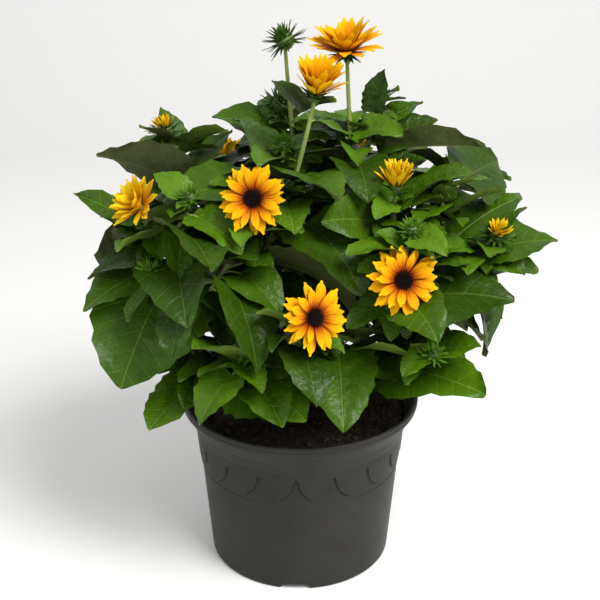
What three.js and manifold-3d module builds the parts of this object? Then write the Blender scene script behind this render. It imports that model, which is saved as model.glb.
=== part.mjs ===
// A potted dwarf sunflower in bloom: a ribbed nursery pot filled with potting mix, three stems, their boughs,
// and a leafy mass with its own flower or bud on the end of each bough.
// Millimetres, +Z up. The origin is the centre of the pot's flat underside, and the plant's best side faces -Y.
import * as THREE from 'three';
import { mergeVertices } from 'three/addons/utils/BufferGeometryUtils.js';
import Module from 'manifold-3d';

const wasm = await Module();
wasm.setup();
const { Manifold, Mesh: SolidMesh } = wasm;
const DEG = Math.PI / 180;
const CLEARANCE = 0.3; // between pieces that meet

// ---------------------------------------------------------------- driving dimensions

// The pot's wall is an even cone up to wallHeight, and then flares out to its rim. flare and rim are its outside
// as [radius, height] points, and wall is how much smaller the inside is.
const POT = {
  footRadius: 93, wallRadius: 104.5, wallHeight: 140, flare: [[108, 153], [117.2, 165]],
  rim: [[119.4, 168], [120, 176]], lipWidth: 4.5, lipDepth: 2, wall: 2.5, floor: 10.5, sides: 36,
};
// A skirt of tongues stands proud of the wall between foot and the flare. The gap between two tongues is cut into
// it as half widths at heights.
const TONGUES = {
  count: 18, turn: -92, proud: 1.7, foot: 107.5, edge: 0.6, gap: [[13, 106], [6, 116], [2, 135.5]], cutFrom: 103,
  cutDepth: 12,
};
const DRAIN_NOTCHES = { count: 3, turn: -93, height: 7, topWidth: 22, footWidth: 30, depth: 18 };
const MIX = { top: 155, edge: 150, bevel: 5 };

// The three stems stand on the potting mix, each with a flared foot and a thinner tip where it forks.
const STEM = {
  flareRadius: 8, flareHeight: 14, flareMiddle: 6.5, radius: 5.8, tipRadius: 4.4, sides: 8, belowMix: 6,
};
const STEMS = {
  stem_left: { foot: [-57, -12], tip: [-64, -22, 268] },
  stem_right: { foot: [52, 12], tip: [62, -4, 272] },
  stem_back: { foot: [32, 62], tip: [22, 66, 272] },
};

// Each bough leaves its stem at a share of the stem's length and ends where its foliage starts.
const BOUGH = { radius: 4, tipRadius: 3.3, sides: 5, steps: 4, outward: 0.6, upward: 0.3 };
const BOUGHS = {
  bough_left_up: { on: 'stem_left', at: 1, tip: [-78, 0, 362] },
  bough_centre: { on: 'stem_left', at: 0.87, tip: [-28, -40, 350] },
  bough_left_front: { on: 'stem_left', at: 0.75, tip: [-80, -64, 315] },
  bough_left_out: { on: 'stem_left', at: 0.63, tip: [-112, -32, 316] },
  bough_front: { on: 'stem_left', at: 0.5, tip: [-12, -88, 262] },
  bough_right_up: { on: 'stem_right', at: 1, tip: [52, -8, 375] },
  bough_right_mid: { on: 'stem_right', at: 0.86, tip: [82, -42, 345] },
  bough_right_front: { on: 'stem_right', at: 0.73, tip: [80, -82, 300] },
  bough_right_out: { on: 'stem_right', at: 0.6, tip: [128, -30, 305] },
  bough_back_up: { on: 'stem_back', at: 1, tip: [0, 40, 375] },
  bough_back_left: { on: 'stem_back', at: 0.86, tip: [-50, 92, 320] },
  bough_back_right: { on: 'stem_back', at: 0.73, tip: [92, 82, 315] },
  bough_back_out: { on: 'stem_back', at: 0.6, tip: [15, 112, 300] },
};

// A twig on a bough or stem starts a mass of foliage, and a twig on a twig belongs to the same mass.
// stalk is the bare length under its head, size its largest leaf, turn its first leaf's bearing, lift that
// leaf's tilt, and face the bearing and elevation that its head looks to.
const TWIG = { radius: 3, tipRadius: 2, sides: 4, steps: 3, outward: 0.55, upward: 0.35 };
// The direction that a limb's first ring starts near.
const ASIDE = [0.31, 0.95, 0.05];
const TWIGS = {
  top_bloom: { on: 'bough_right_up', at: 1.0, tip: [42, -8, 520], stalk: 60, leaves: 7, size: 90,
    turn: 0, lift: 8, head: 'cup', face: [-110, 76] },
  high_leaves: { on: 'top_bloom', at: 0.25, tip: [74, 12, 470], stalk: 0, leaves: 6, size: 76,
    turn: 30, lift: -10, head: 'tip', face: [0, 80] },
  tall_bloom: { on: 'bough_centre', at: 1.0, tip: [14, -62, 494], stalk: 98, leaves: 7, size: 98,
    turn: 200, lift: -10, head: 'goblet', face: [-68, 70] },
  centre_bud: { on: 'tall_bloom', at: 0.15, tip: [-15, -30, 440], stalk: 8, leaves: 6, size: 91,
    turn: 60, lift: -10, head: 'young', face: [-90, 70] },
  tall_bud: { on: 'bough_back_up', at: 1.0, tip: [-14, 20, 525], stalk: 108, leaves: 6, size: 86,
    turn: 100, lift: -10, head: 'bud', face: [175, 62] },
  half_hidden: { on: 'tall_bud', at: 0.15, tip: [-19, 52, 458], stalk: 12, leaves: 6, size: 91,
    turn: 160, lift: -10, head: 'bud', face: [-20, 60] },
  left_crest: { on: 'bough_left_up', at: 1.0, tip: [-128, 20, 440], stalk: 15, leaves: 6, size: 101,
    turn: 180, lift: -10, head: 'opening', face: [180, 75] },
  left_bloom: { on: 'bough_left_out', at: 1.0, tip: [-141, -72, 394], stalk: 22, leaves: 6, size: 96,
    turn: 170, lift: -10, head: 'half', face: [-135, 40] },
  left_bud: { on: 'left_bloom', at: 0.4, tip: [-95, -88, 408], stalk: 8, leaves: 6, size: 91,
    turn: 150, lift: -10, head: 'young', face: [-120, 60] },
  crown_bloom: { on: 'bough_left_front', at: 1.0, tip: [-40, -100, 410], stalk: 30, leaves: 6, size: 101,
    turn: 240, lift: -10, head: 'bloom', face: [-100, 24] },
  left_low_bud: { on: 'crown_bloom', at: 0.12, tip: [-133, -100, 342], stalk: 8, leaves: 5, size: 86,
    turn: 200, lift: -10, head: 'young', face: [-130, 50] },
  front_bloom: { on: 'bough_front', at: 1.0, tip: [11, -160, 325], stalk: 35, leaves: 5, size: 84,
    turn: 150, lift: 12, head: 'bloom', face: [-58, 22] },
  right_bloom: { on: 'bough_right_front', at: 1.0, tip: [87, -138, 350], stalk: 35, leaves: 6, size: 84,
    turn: 20, lift: 12, head: 'bloom', face: [-85, 22] },
  front_bud: { on: 'right_bloom', at: 0.2, tip: [95, -118, 388], stalk: 8, leaves: 5, size: 81,
    turn: 130, lift: 14, head: 'young', face: [-80, 70] },
  young_bloom: { on: 'bough_right_mid', at: 1.0, tip: [84, -78, 415], stalk: 20, leaves: 6, size: 91,
    turn: -20, lift: -10, head: 'vase', face: [-75, 80] },
  right_crest: { on: 'bough_right_out', at: 1.0, tip: [178, -60, 363], stalk: 12, leaves: 7, size: 96,
    turn: 0, lift: -10, head: 'opening', face: [-60, 60] },
  right_bud: { on: 'right_crest', at: 0.15, tip: [128, -50, 408], stalk: 8, leaves: 6, size: 91,
    turn: 30, lift: -10, head: 'young', face: [-60, 60] },
  low_right: { on: 'stem_right', at: 0.33, tip: [118, -120, 272], stalk: 12, leaves: 6, size: 96,
    turn: -30, lift: -10, head: 'young', face: [-60, 60] },
  low_front_left: { on: 'stem_left', at: 0.36, tip: [-53, -132, 268], stalk: 4, leaves: 7, size: 96,
    turn: -100, lift: 8, head: 'tip', face: [-100, 60] },
  low_front: { on: 'stem_right', at: 0.2, tip: [32, -96, 284], stalk: 4, leaves: 5, size: 86,
    turn: -95, lift: -10, head: 'tip', face: [-100, 60] },
  low_left: { on: 'stem_left', at: 0.22, tip: [-118, -62, 275], stalk: 4, leaves: 6, size: 106,
    turn: 200, lift: -10, head: 'tip', face: [-150, 40] },
  back_crest: { on: 'bough_back_right', at: 1.0, tip: [150, 60, 395], stalk: 10, leaves: 8, size: 101,
    turn: 10, lift: -10, head: 'young', face: [30, 70] },
  back_high: { on: 'back_crest', at: 0.2, tip: [85, 55, 425], stalk: 10, leaves: 6, size: 96,
    turn: 80, lift: -10, head: 'tip', face: [30, 80] },
  back_bloom: { on: 'bough_back_out', at: 1.0, tip: [48, 165, 390], stalk: 35, leaves: 7, size: 101,
    turn: 90, lift: -10, head: 'bloom', face: [80, 40] },
  back_left_bloom: { on: 'bough_back_left', at: 1.0, tip: [-80, 145, 380], stalk: 35, leaves: 7, size: 101,
    turn: 120, lift: -10, head: 'bloom', face: [118, 45] },
  back_left_crest: { on: 'back_left_bloom', at: 0.15, tip: [-140, 80, 372], stalk: 8, leaves: 7, size: 96,
    turn: 160, lift: -10, head: 'bud', face: [150, 60] },
  low_back: { on: 'stem_back', at: 0.3, tip: [40, 140, 268], stalk: 4, leaves: 7, size: 101,
    turn: 80, lift: -10, head: 'tip', face: [90, 60] },
  low_back_left: { on: 'stem_back', at: 0.45, tip: [-80, 115, 272], stalk: 4, leaves: 7, size: 101,
    turn: 130, lift: -10, head: 'tip', face: [130, 50] },
  low_back_right: { on: 'stem_right', at: 0.46, tip: [130, 72, 278], stalk: 4, leaves: 7, size: 101,
    turn: 40, lift: -10, head: 'tip', face: [40, 50] },
};

// Leaves that reach furthest: twig, share of its length, where the leaf's tip ends, length, droop, roll, fold
// and width as a share of length.
const REACHING_LEAVES = [
  ['left_crest', 0.25, [-193, 10, 420], 100, 25, -48, 10, 0.85],
  ['left_crest', 0.75, [-133, 35, 460], 52, 10, 0, 14, 0.78],
  ['left_crest', 0.85, [-147, -15, 453], 42, 20, 0, 14, 0.78],
  ['left_crest', 0.5, [-65, 40, 436], 62, 25, 0, 14, 0.78],
  ['left_bloom', 0.5, [-211, -20, 391], 88, 20, 30, 20, 0.4],
  ['left_bloom', 0.3, [-169, -60, 354], 60, 40, 0, 14, 0.78],
  ['left_bloom', 0.35, [-194, -70, 325], 80, 25, 0, 14, 0.78],
  ['left_bloom', 0.2, [-197, -85, 299], 92, 30, 12, 10, 0.85],
  ['left_bloom', 0.12, [-163, -110, 233], 130, 20, 24, 8, 1.1],
  ['low_left', 0.2, [-138, -120, 196], 66, 30, 0, 10, 0.9],
  ['low_front_left', 0.9, [-88, -158, 222], 82, 40, 0, 14, 0.88],
  ['low_front_left', 0.75, [3, -134, 262], 84, 30, -20, 12, 0.85],
  ['low_front_left', 0.45, [6, -146, 220], 96, 25, -30, 10, 1],
  ['low_front', 0.85, [38, -164, 218], 105, 30, 0, 12, 0.85],
  ['low_front', 0.3, [94, -64, 216], 58, 20, -10, 10, 1.05],
  ['low_front', 0.5, [98, -118, 242], 66, 30, 0, 14, 0.95],
  ['low_right', 0.35, [168, -120, 232], 100, 22, -25, 10, 0.8],
  ['low_right', 0.7, [161, -118, 280], 82, 25, -15, 10, 0.8],
  ['right_bloom', 0.35, [116, -150, 310], 95, 40, 0, 12, 0.95],
  ['right_bloom', 0.25, [190, -105, 317], 95, 30, -22, 10, 0.95],
  ['right_crest', 0.6, [237, -50, 355], 88, 25, -18, 10, 0.85],
  ['right_crest', 0.3, [223, -45, 323], 84, 30, -10, 10, 0.85],
  ['right_crest', 0.85, [206, -50, 387], 52, 20, 0, 14, 0.78],
  ['right_bud', 0.35, [212, 5, 380], 98, 25, -8, 10, 0.8],
  ['right_bud', 0.75, [196, 55, 401], 80, 12, -45, 10, 0.85],
  ['back_crest', 0.9, [154, 70, 402], 50, 15, 0, 14, 0.78],
  ['high_leaves', 0.2, [170, -22, 436], 90, 20, 30, 26, 0.6],
  ['high_leaves', 0.4, [128, 2, 455], 60, 8, -40, 12, 0.75],
  ['high_leaves', 0.6, [115, 15, 469], 66, 20, -10, 14, 0.78],
  ['high_leaves', 0.8, [78, 10, 501], 60, 10, -30, 10, 0.8],
  ['high_leaves', 0.5, [103, 20, 437], 50, 30, 0, 14, 0.78],
  ['young_bloom', 0.4, [18, -110, 393], 75, 20, 60, 14, 0.78],
  ['tall_bloom', 0.87, [-25, -36, 499], 44, 20, 0, 12, 0.8],
  ['tall_bloom', 0.85, [44, -52, 466], 40, 30, 0, 12, 0.8],
  ['half_hidden', 0.5, [-84, 30, 452], 95, 25, 25, 10, 0.85],
  ['crown_bloom', 0.3, [-23, -120, 355], 92, 30, 0, 14, 0.78],
];

// The crown's outline: how far from its axis foliage reaches at each height.
const CROWN_AXIS = [8, 0];
const CROWN_REACH = [
  [160, 120], [185, 140], [210, 160], [240, 180], [270, 200], [300, 212], [350, 215], [385, 208],
  [410, 195], [430, 170], [450, 135], [470, 100], [490, 75], [510, 55], [540, 30],
];

// How leaves follow each other up a twig: the turn between two, their share of the largest leaf's length at
// the top and how fast they shrink towards it, their tilt and droop at the foot and the top, and the shares of
// the twig's length where the first leaf sits and the last one may.
const LEAF = {
  turn: 137.5, outward: 0.45, smallest: 0.45, shrinking: 1.4, topLift: 24, footDroop: 54, topDroop: 34,
  width: 0.82, fold: 16, halfThickness: 0.01, firstAt: 0.18, lastAt: 0.3,
};
// A leaf's stalk: its share of the leaf's length at the twig's foot and top, how much steeper than the blade it
// leaves the twig and the steepest it may, its section, and the length from which it is bent in two. A reaching
// leaf's stalk rises a little over the straight way to its tip, and takes a share of that way at least.
const STALK = {
  foot: 0.44, top: 0.22, steeper: 35, steepest: 80, radius: 1, shoulder: 0.4, long: 38, over: 22, least: 0.15,
};
// A leaf's outline and relief: how far its foot's lobes reach back and how soon they end, where it is widest and
// how round, how much narrower it is towards its tip, and how much its halves flatten towards their edges.
const BLADE = { lobes: 0.45, lobesEnd: 1.5, widest: 0.74, roundness: 0.8, narrower: 0.25, flatten: 0.25 };
// How far each leaf strays from that rule at most: in length as a share, and in degrees.
const LEAF_STRAY = { size: 0.12, tilt: 14, droop: 12, bearing: 8, roll: 30, fold: 7, width: 0.06 };
// A leaf keeps this far from the next, and turns, tilts and shrinks a little more at each try to find the room.
const LEAF_ROOM = 5;
const NET_MARGIN = 3;
// How much longer than the straight way between its ends a twig's bend is.
const BEND_LENGTH = 1.03;
const LEAF_TRIES = { count: 24, turn: 4.5, tilts: [0, 16, -16, 30, -30], shrink: 0.016 };

// Heads: the radius that foliage leaves free and the shift of that space, then the receptacle as rings of
// [radius, height] with bands between them. Each side of a band grows into a ray or a bract of the band's length
// and width, which rises by the band's angle from the head's plane.
const HEADS = {
  bloom: {
    clear: 26, shift: 8, sides: 8, rings: [[2.2, -8], [7.5, -3], [8.5, 0.5], [7.5, 4]],
    bands: [
      { bract: true, length: 12, rise: -20 },
      { length: 26, width: 13, rise: 3 },
      { length: 23, width: 12, rise: 18 },
    ],
  },
  cup: {
    clear: 26, shift: 8, sides: 8, rings: [[2.2, -8], [6.5, -3], [7.5, 0.5], [6.5, 4]],
    bands: [
      { bract: true, length: 12, rise: 10 },
      { length: 30, width: 13, rise: 16 },
      { length: 29, width: 12, rise: 44 },
    ],
  },
  goblet: {
    clear: 26, shift: 8, sides: 8, rings: [[2.2, -8], [6.4, -3], [7, 0.5], [6, 4]],
    bands: [
      { bract: true, length: 12, rise: 46 },
      { length: 30, width: 12, rise: 50 },
      { length: 29, width: 11, rise: 66 },
    ],
  },
  half: {
    clear: 22, shift: 10, sides: 6, rings: [[2, -6], [5, -2], [5.5, 1.5], [4.5, 4]],
    bands: [
      { bract: true, length: 12, rise: 28 },
      { length: 25, width: 10, rise: 32 },
      { length: 23, width: 8, rise: 58 },
    ],
  },
  vase: {
    clear: 16, shift: 10, sides: 6, rings: [[2, -6], [5.4, -2], [5.8, 1.5], [4.5, 4]],
    bands: [
      { bract: true, length: 12, rise: 42 },
      { length: 22, width: 8, rise: 64 },
      { length: 21, width: 7, rise: 76 },
    ],
  },
  opening: {
    clear: 13, shift: 8, sides: 5, rings: [[2, -6], [7.4, -1.5], [6.8, 2.4], [4, 5]],
    bands: [
      { bract: true, length: 13, rise: 6 },
      { bract: true, length: 12, rise: 36 },
      { length: 12, width: 5, rise: 64 },
    ],
  },
  bud: {
    clear: 13, shift: 5, sides: 6, rings: [[2, -7], [9.2, -2], [8.4, 3], [4.4, 7]],
    bands: [
      { bract: true, length: 14, rise: 0 },
      { bract: true, length: 14, rise: 28 },
      { bract: true, length: 12, rise: 58 },
    ],
  },
  young: {
    clear: 9, shift: 5, sides: 5, rings: [[1.8, -5], [5.2, -1], [4.6, 2.4], [2.4, 4.6]],
    bands: [
      { bract: true, length: 11, rise: 16 },
      { bract: true, length: 11, rise: 44 },
      { bract: true, length: 10, rise: 70 },
    ],
  },
  tip: {
    clear: 6, shift: 5, sides: 3, rings: [[2.2, -2], [1.8, 2]], bands: [{ length: 19, width: 8, rise: 58 }],
  },
};
// How rays and bracts stray from their band, rise in degrees and length as a share, and how rays are shaped.
const RAY = { widestAt: 0.55, thickness: 0.9, rise: 5, length: 0.08 };

// What foliage leaves free round the pot: its wall and rim, the potting mix, and the space just above the rim.
const POT_ROOM = {
  wall: { from: 96, to: 127, below: 184 },
  mix: { from: 0, to: 100, below: 163 },
  rim: { from: 0, to: 150, below: 204 },
};
const LIMB_ROOM = { limb: 7, limbPoints: 16, twig: 5, twigPoints: 12, ownTwig: 3, firstAt: 0.05, netSteps: 9 };

// ---------------------------------------------------------------- solids and vectors

const vec = ([x, y, z]) => new THREE.Vector3(x, y, z);
const along = (bearing, tilt) =>
  new THREE.Vector3(Math.cos(bearing * DEG) * Math.cos(tilt * DEG), Math.sin(bearing * DEG) * Math.cos(tilt * DEG),
    Math.sin(tilt * DEG));

// A repeatable number from -1 to 1 for the leaf, ray or bract counted by i, j and k.
function wobble(i, j, k) {
  const x = Math.sin(i * 12.9898 + j * 78.233 + k * 37.719 + 1.7) * 43758.5453;
  return 2 * (x - Math.floor(x)) - 1;
}

// A closed solid from corner points and the faces between them, each face anticlockwise from outside.
function facetedSolid(points, faces) {
  const vertProperties = new Float32Array(points.flatMap((p) => [p.x, p.y, p.z]));
  return new Manifold(new SolidMesh({ numProp: 3, vertProperties, triVerts: new Uint32Array(faces.flat()) }));
}

// A closed three.js geometry as a solid.
function solidOf(geometry) {
  const bare = new THREE.BufferGeometry().setAttribute('position', geometry.getAttribute('position'));
  bare.setIndex(geometry.index);
  const merged = mergeVertices(bare, 1e-4);
  const corners = [...merged.index.array];
  const position = merged.getAttribute('position');
  const triVerts = [];
  for (let i = 0; i < corners.length; i += 3) {
    const [a, b, c] = corners.slice(i, i + 3);
    if (a !== b && b !== c && c !== a) triVerts.push(a, b, c);
  }
  return new Manifold(new SolidMesh({
    numProp: 3, vertProperties: new Float32Array(position.array), triVerts: new Uint32Array(triVerts),
  }));
}

// A solid turned about Z from its half profile, a list of [radius, height] that starts and ends on the axis.
function turned(profile, sides) {
  const points = profile.map(([radius, height]) => new THREE.Vector2(radius, height));
  return solidOf(new THREE.LatheGeometry(points, sides).rotateX(Math.PI / 2));
}

const largestBody = (solid) => solid.decompose().reduce((a, b) => (b.volume() > a.volume() ? b : a));

// ---------------------------------------------------------------- the pot and its fill

const wallRadius = (height) =>
  POT.footRadius + ((POT.wallRadius - POT.footRadius) * height) / POT.wallHeight;

// A wedge-shaped cutter across the wall at one bearing: an outline of [sideways, height] points pushed outwards
// by depth from the radius given.
function wallCutter(outline, radius, depth, bearing) {
  const shape = new THREE.Shape(outline.map(([across, height]) => new THREE.Vector2(across, height)));
  const cutter = new THREE.ExtrudeGeometry(shape, { depth, bevelEnabled: false });
  cutter.rotateX(Math.PI / 2).rotateZ(Math.PI / 2).translate(radius, 0, 0).rotateZ(bearing * DEG);
  return solidOf(cutter);
}

function pot() {
  const { footRadius, wallHeight, flare, rim, lipWidth, lipDepth, wall, floor, sides } = POT;
  const [rimRadius, height] = rim[rim.length - 1];
  const { proud, foot, edge } = TONGUES;
  const body = turned([
    [0, 0], [footRadius, 0], [wallRadius(foot), foot], [wallRadius(foot) + proud, foot + edge],
    [POT.wallRadius + proud, wallHeight], [flare[0][0] + proud, flare[0][1]], flare[1], ...rim,
    [rimRadius - lipWidth, height], [flare[1][0] - lipWidth, flare[1][1] + lipDepth],
    [flare[0][0] - wall, flare[0][1]], [POT.wallRadius - wall, wallHeight], [wallRadius(floor) - wall, floor],
    [0, floor],
  ], sides);
  const cutters = [];
  for (let i = 0; i < TONGUES.count; i++) {
    const { count, turn, gap, cutFrom, cutDepth } = TONGUES;
    const left = gap.map(([half, at]) => [-half, at]);
    const right = gap.map(([half, at]) => [half, at]).reverse();
    cutters.push(wallCutter([...left, ...right].reverse(), cutFrom, cutDepth, turn + (i * 360) / count));
  }
  for (let i = 0; i < DRAIN_NOTCHES.count; i++) {
    const { turn, count, height: tall, topWidth, footWidth, depth } = DRAIN_NOTCHES;
    const opening = [[-footWidth / 2, -1], [footWidth / 2, -1], [topWidth / 2, tall], [-topWidth / 2, tall]];
    cutters.push(wallCutter(opening, footRadius - depth, 2 * depth, turn + (i * 360) / count));
  }
  return largestBody(body.subtract(Manifold.union(cutters)));
}

function pottingMix() {
  const { wall, floor, sides, wallHeight, flare } = POT;
  const [[flareRadius, flareHeight]] = flare;
  const slope = (flareRadius - POT.wallRadius) / (flareHeight - wallHeight);
  const edgeRadius = POT.wallRadius + slope * (MIX.edge - wallHeight) - wall - CLEARANCE;
  const foot = floor + CLEARANCE;
  return turned([
    [0, foot], [wallRadius(foot) - wall - 2 * CLEARANCE, foot], [POT.wallRadius - wall - CLEARANCE, wallHeight],
    [edgeRadius, MIX.edge], [edgeRadius - MIX.bevel, MIX.top], [0, MIX.top],
  ], sides);
}

// ---------------------------------------------------------------- stems, boughs and twigs

// What cuts the stems flat just above the potting mix.
const ground = MIX.top + CLEARANCE;
const groundCutter = turned([[0, 0], [POT.footRadius, 0], [POT.footRadius, ground], [0, ground]], POT.sides);

// The bend of a bough or twig from its root to its tip: it leaves outwards and rises later.
function bend(root, tip, { outward, upward }) {
  const step = tip.clone().sub(root);
  const shoulder = root.clone().add(new THREE.Vector3(step.x * outward, step.y * outward, step.z * upward));
  return new THREE.QuadraticBezierCurve3(root, shoulder, tip);
}

// The centre line of every stem, bough and twig by name.
const centreLines = {};
for (const [name, { foot, tip }] of Object.entries(STEMS)) {
  centreLines[name] = new THREE.LineCurve3(vec([...foot, MIX.top]), vec(tip));
}
for (const [name, { on, at, tip }] of Object.entries(BOUGHS)) {
  centreLines[name] = bend(centreLines[on].getPoint(at), vec(tip), BOUGH);
}
for (const [name, { on, at, tip }] of Object.entries(TWIGS)) {
  centreLines[name] = bend(centreLines[on].getPoint(at), vec(tip), TWIG);
}

// A tapering round limb along a centre line: rings of corners square to the line, and a flat cap at each end.
// radii gives the half thickness at each ring's share of the length, and grow thickens and lengthens it.
function limb(line, radii, sides, grow = 0) {
  const points = [];
  const faces = [];
  const last = radii.length - 1;
  const side = line.getTangent(0).cross(vec(ASIDE)).normalize();
  radii.forEach(([share, radius], ring) => {
    const tangent = line.getTangent(share);
    const across = side.clone().addScaledVector(tangent, -side.dot(tangent)).normalize();
    const up = tangent.clone().cross(across);
    const centre = line.getPoint(share);
    if (ring === last) centre.addScaledVector(tangent, grow);
    for (let i = 0; i < sides; i++) {
      const angle = (2 * Math.PI * i) / sides;
      points.push(centre.clone().addScaledVector(across, Math.cos(angle) * (radius + grow))
        .addScaledVector(up, Math.sin(angle) * (radius + grow)));
    }
  });
  for (let ring = 0; ring < last; ring++) {
    for (let i = 0; i < sides; i++) {
      const [a, b] = [ring * sides + i, ring * sides + ((i + 1) % sides)];
      faces.push([a, b, b + sides], [a, b + sides, a + sides]);
    }
  }
  for (let i = 1; i < sides - 1; i++) {
    faces.push([0, i + 1, i], [last * sides, last * sides + i, last * sides + i + 1]);
  }
  return facetedSolid(points, faces);
}

const evenTaper = ({ radius, tipRadius, steps }) =>
  Array.from({ length: steps + 1 }, (_, i) => [i / steps, radius + ((tipRadius - radius) * i) / steps]);

// A stem leans from its flared foot to its fork. It starts below the potting mix, which then cuts it flat.
function stemSolid(name, grow = 0) {
  const { tip } = STEMS[name];
  const line = centreLines[name];
  const start = line.getPoint(0).addScaledVector(line.getTangent(0), -STEM.belowMix);
  const whole = new THREE.LineCurve3(start, vec(tip));
  const share = (height) => (STEM.belowMix + height) / whole.getLength();
  const radii = [
    [0, STEM.flareRadius], [share(0), STEM.flareRadius], [share(STEM.flareHeight / 2), STEM.flareMiddle],
    [share(STEM.flareHeight), STEM.radius], [1, STEM.tipRadius],
  ];
  return limb(whole, radii, STEM.sides, grow).subtract(groundCutter);
}

const limbSolid = (name, grow = 0) =>
  name in STEMS ? stemSolid(name, grow) : limb(centreLines[name], evenTaper(BOUGH), BOUGH.sides, grow);

// ---------------------------------------------------------------- where the leaves are

// A leaf's flat outline: how far along its rib and how far out, as shares, for t from 0 at the stalk to 1 at
// the tip. The lobes at its foot reach back beside the stalk, and its tip is drawn out.
function leafOutline(t) {
  const { lobes, lobesEnd, widest, roundness, narrower } = BLADE;
  return [
    t - lobes * Math.sin(Math.PI * t) * (1 - t) ** lobesEnd,
    Math.sin(Math.PI * t ** widest) ** roundness * (1 - narrower * t ** 3),
  ];
}

// A point of a leaf, with x along its rib from 0 to 1 and y across it from -1 to 1: the rib bends down by the
// leaf's droop on an even curve, and both halves fold up from it and flatten towards their edges.
function leafPoint(leaf, x, y, lift = 0) {
  const tilt = leaf.tilt * DEG;
  const droop = leaf.droop * DEG;
  const bearing = leaf.bearing * DEG;
  const roll = leaf.roll * DEG;
  const fold = leaf.fold * DEG;
  const out = (leaf.size / droop) * (Math.sin(tilt) - Math.sin(tilt - droop * x));
  const up = (leaf.size / droop) * (Math.cos(tilt - droop * x) - Math.cos(tilt));
  const ahead = new THREE.Vector3(Math.cos(bearing), Math.sin(bearing), 0);
  const point = leaf.base.clone().addScaledVector(ahead, out);
  point.z += up;
  const slope = tilt - droop * x;
  const above = ahead.clone().multiplyScalar(-Math.sin(slope)).setZ(Math.cos(slope));
  const beside = new THREE.Vector3(Math.sin(bearing), -Math.cos(bearing), 0);
  const side = beside.clone().multiplyScalar(Math.cos(roll)).addScaledVector(above, Math.sin(roll));
  const face = above.clone().multiplyScalar(Math.cos(roll)).addScaledVector(beside, -Math.sin(roll));
  const half = (leaf.size * leaf.width) / 2;
  const across = y * half;
  const raised = Math.sin(fold) * (Math.abs(across) - (BLADE.flatten * across * across) / half);
  return point.addScaledVector(side, across * Math.cos(fold)).addScaledVector(face, raised + lift);
}

// Ten points over a leaf that stand for it where it looks for room: four on the rib, six beside it.
const FEELERS = [
  [0.15, 0], [0.4, 0], [0.65, 0], [0.9, 0], [0.12, 0.6], [0.4, 0.62], [0.68, 0.4], [0.12, -0.6], [0.4, -0.62],
  [0.68, -0.4],
];
const feelersOf = (leaf) => FEELERS.map(([x, y]) => leafPoint(leaf, x, y));

function crownReach(height) {
  const above = CROWN_REACH.findIndex(([h]) => h > height);
  if (above === 0) return CROWN_REACH[0][1];
  if (above < 0) return CROWN_REACH[CROWN_REACH.length - 1][1];
  const [[h0, r0], [h1, r1]] = [CROWN_REACH[above - 1], CROWN_REACH[above]];
  return r0 + ((r1 - r0) * (height - h0)) / (h1 - h0);
}

// What leaves keep clear of: points along every stem, bough and twig, and a ball for each head.
const spread = (from, count, line) =>
  Array.from({ length: count }, (_, i) => line.getPoint(from + ((1 - from) * i) / (count - 1)));
const obstacles = [];
const { firstAt, limbPoints, twigPoints } = LIMB_ROOM;
for (const name of [...Object.keys(STEMS), ...Object.keys(BOUGHS)]) {
  obstacles.push({ name, points: spread(firstAt, limbPoints, centreLines[name]), radius: LIMB_ROOM.limb });
}
for (const [name, { head, face }] of Object.entries(TWIGS)) {
  obstacles.push({ name, points: spread(firstAt, twigPoints, centreLines[name]), radius: LIMB_ROOM.twig });
  const { clear, shift } = HEADS[head];
  const centre = centreLines[name].getPoint(1).addScaledVector(along(...face), shift);
  obstacles.push({ name: 'head', points: [centre], radius: clear });
}

const gapBetween = (some, others) => Math.min(...some.map((p) => Math.min(...others.map((q) => p.distanceTo(q)))));

// How much room a leaf has to spare: none in the pot's or the potting mix's space, else the least gap to a limb,
// a head or another leaf. Near its own twig only its outer part counts.
function roomFor(feelers, twig, placed) {
  for (const { x, y, z } of feelers) {
    const radius = Math.hypot(x, y);
    const within = ({ from, to, below }) => radius >= from && radius < to && z < below;
    if (Object.values(POT_ROOM).some(within)) return -1;
  }
  const gaps = obstacles.map(({ name, points, radius }) => (name === twig
    ? gapBetween(feelers.slice(2), points) - radius + LIMB_ROOM.ownTwig
    : gapBetween(feelers, points) - radius));
  return Math.min(...gaps, ...placed.map((other) => gapBetween(feelers, other.feelers) - LEAF_ROOM));
}

// A leaf as a net: foot, tip, two corners on each side, two points on its rib, and its stalk's root and elbow,
// with the faces and edges between them.
const LEAF_CORNERS = [leafOutline(0.22), leafOutline(0.62)];
const LEAF_RIDGE = [0.3, 0.66];
const NET_FACES = [[0, 2, 6], [2, 3, 6], [3, 7, 6], [3, 1, 7], [0, 6, 4], [4, 6, 5], [5, 6, 7], [5, 7, 1]];
const NET_EDGES = [
  [0, 2], [2, 3], [3, 1], [0, 4], [4, 5], [5, 1], [0, 6], [6, 7], [7, 1], [2, 6], [3, 7], [4, 6], [5, 7], [8, 9],
  [9, 0],
];

const elbowOf = ({ root, base, bearing, rise }) =>
  root.clone().addScaledVector(along(bearing, rise), base.distanceTo(root) / 2);

function netOf(leaf) {
  const corners = (side) => LEAF_CORNERS.map(([x, y]) => leafPoint(leaf, x, y * side));
  const ridge = LEAF_RIDGE.map((x) => leafPoint(leaf, x, 0));
  const foot = leafPoint(leaf, 0, 0);
  const points = [foot, leafPoint(leaf, 1, 0), ...corners(1), ...corners(-1), ...ridge, leaf.root, elbowOf(leaf)];
  return { points, box: new THREE.Box3().setFromPoints(points).expandByScalar(NET_MARGIN) };
}

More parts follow.
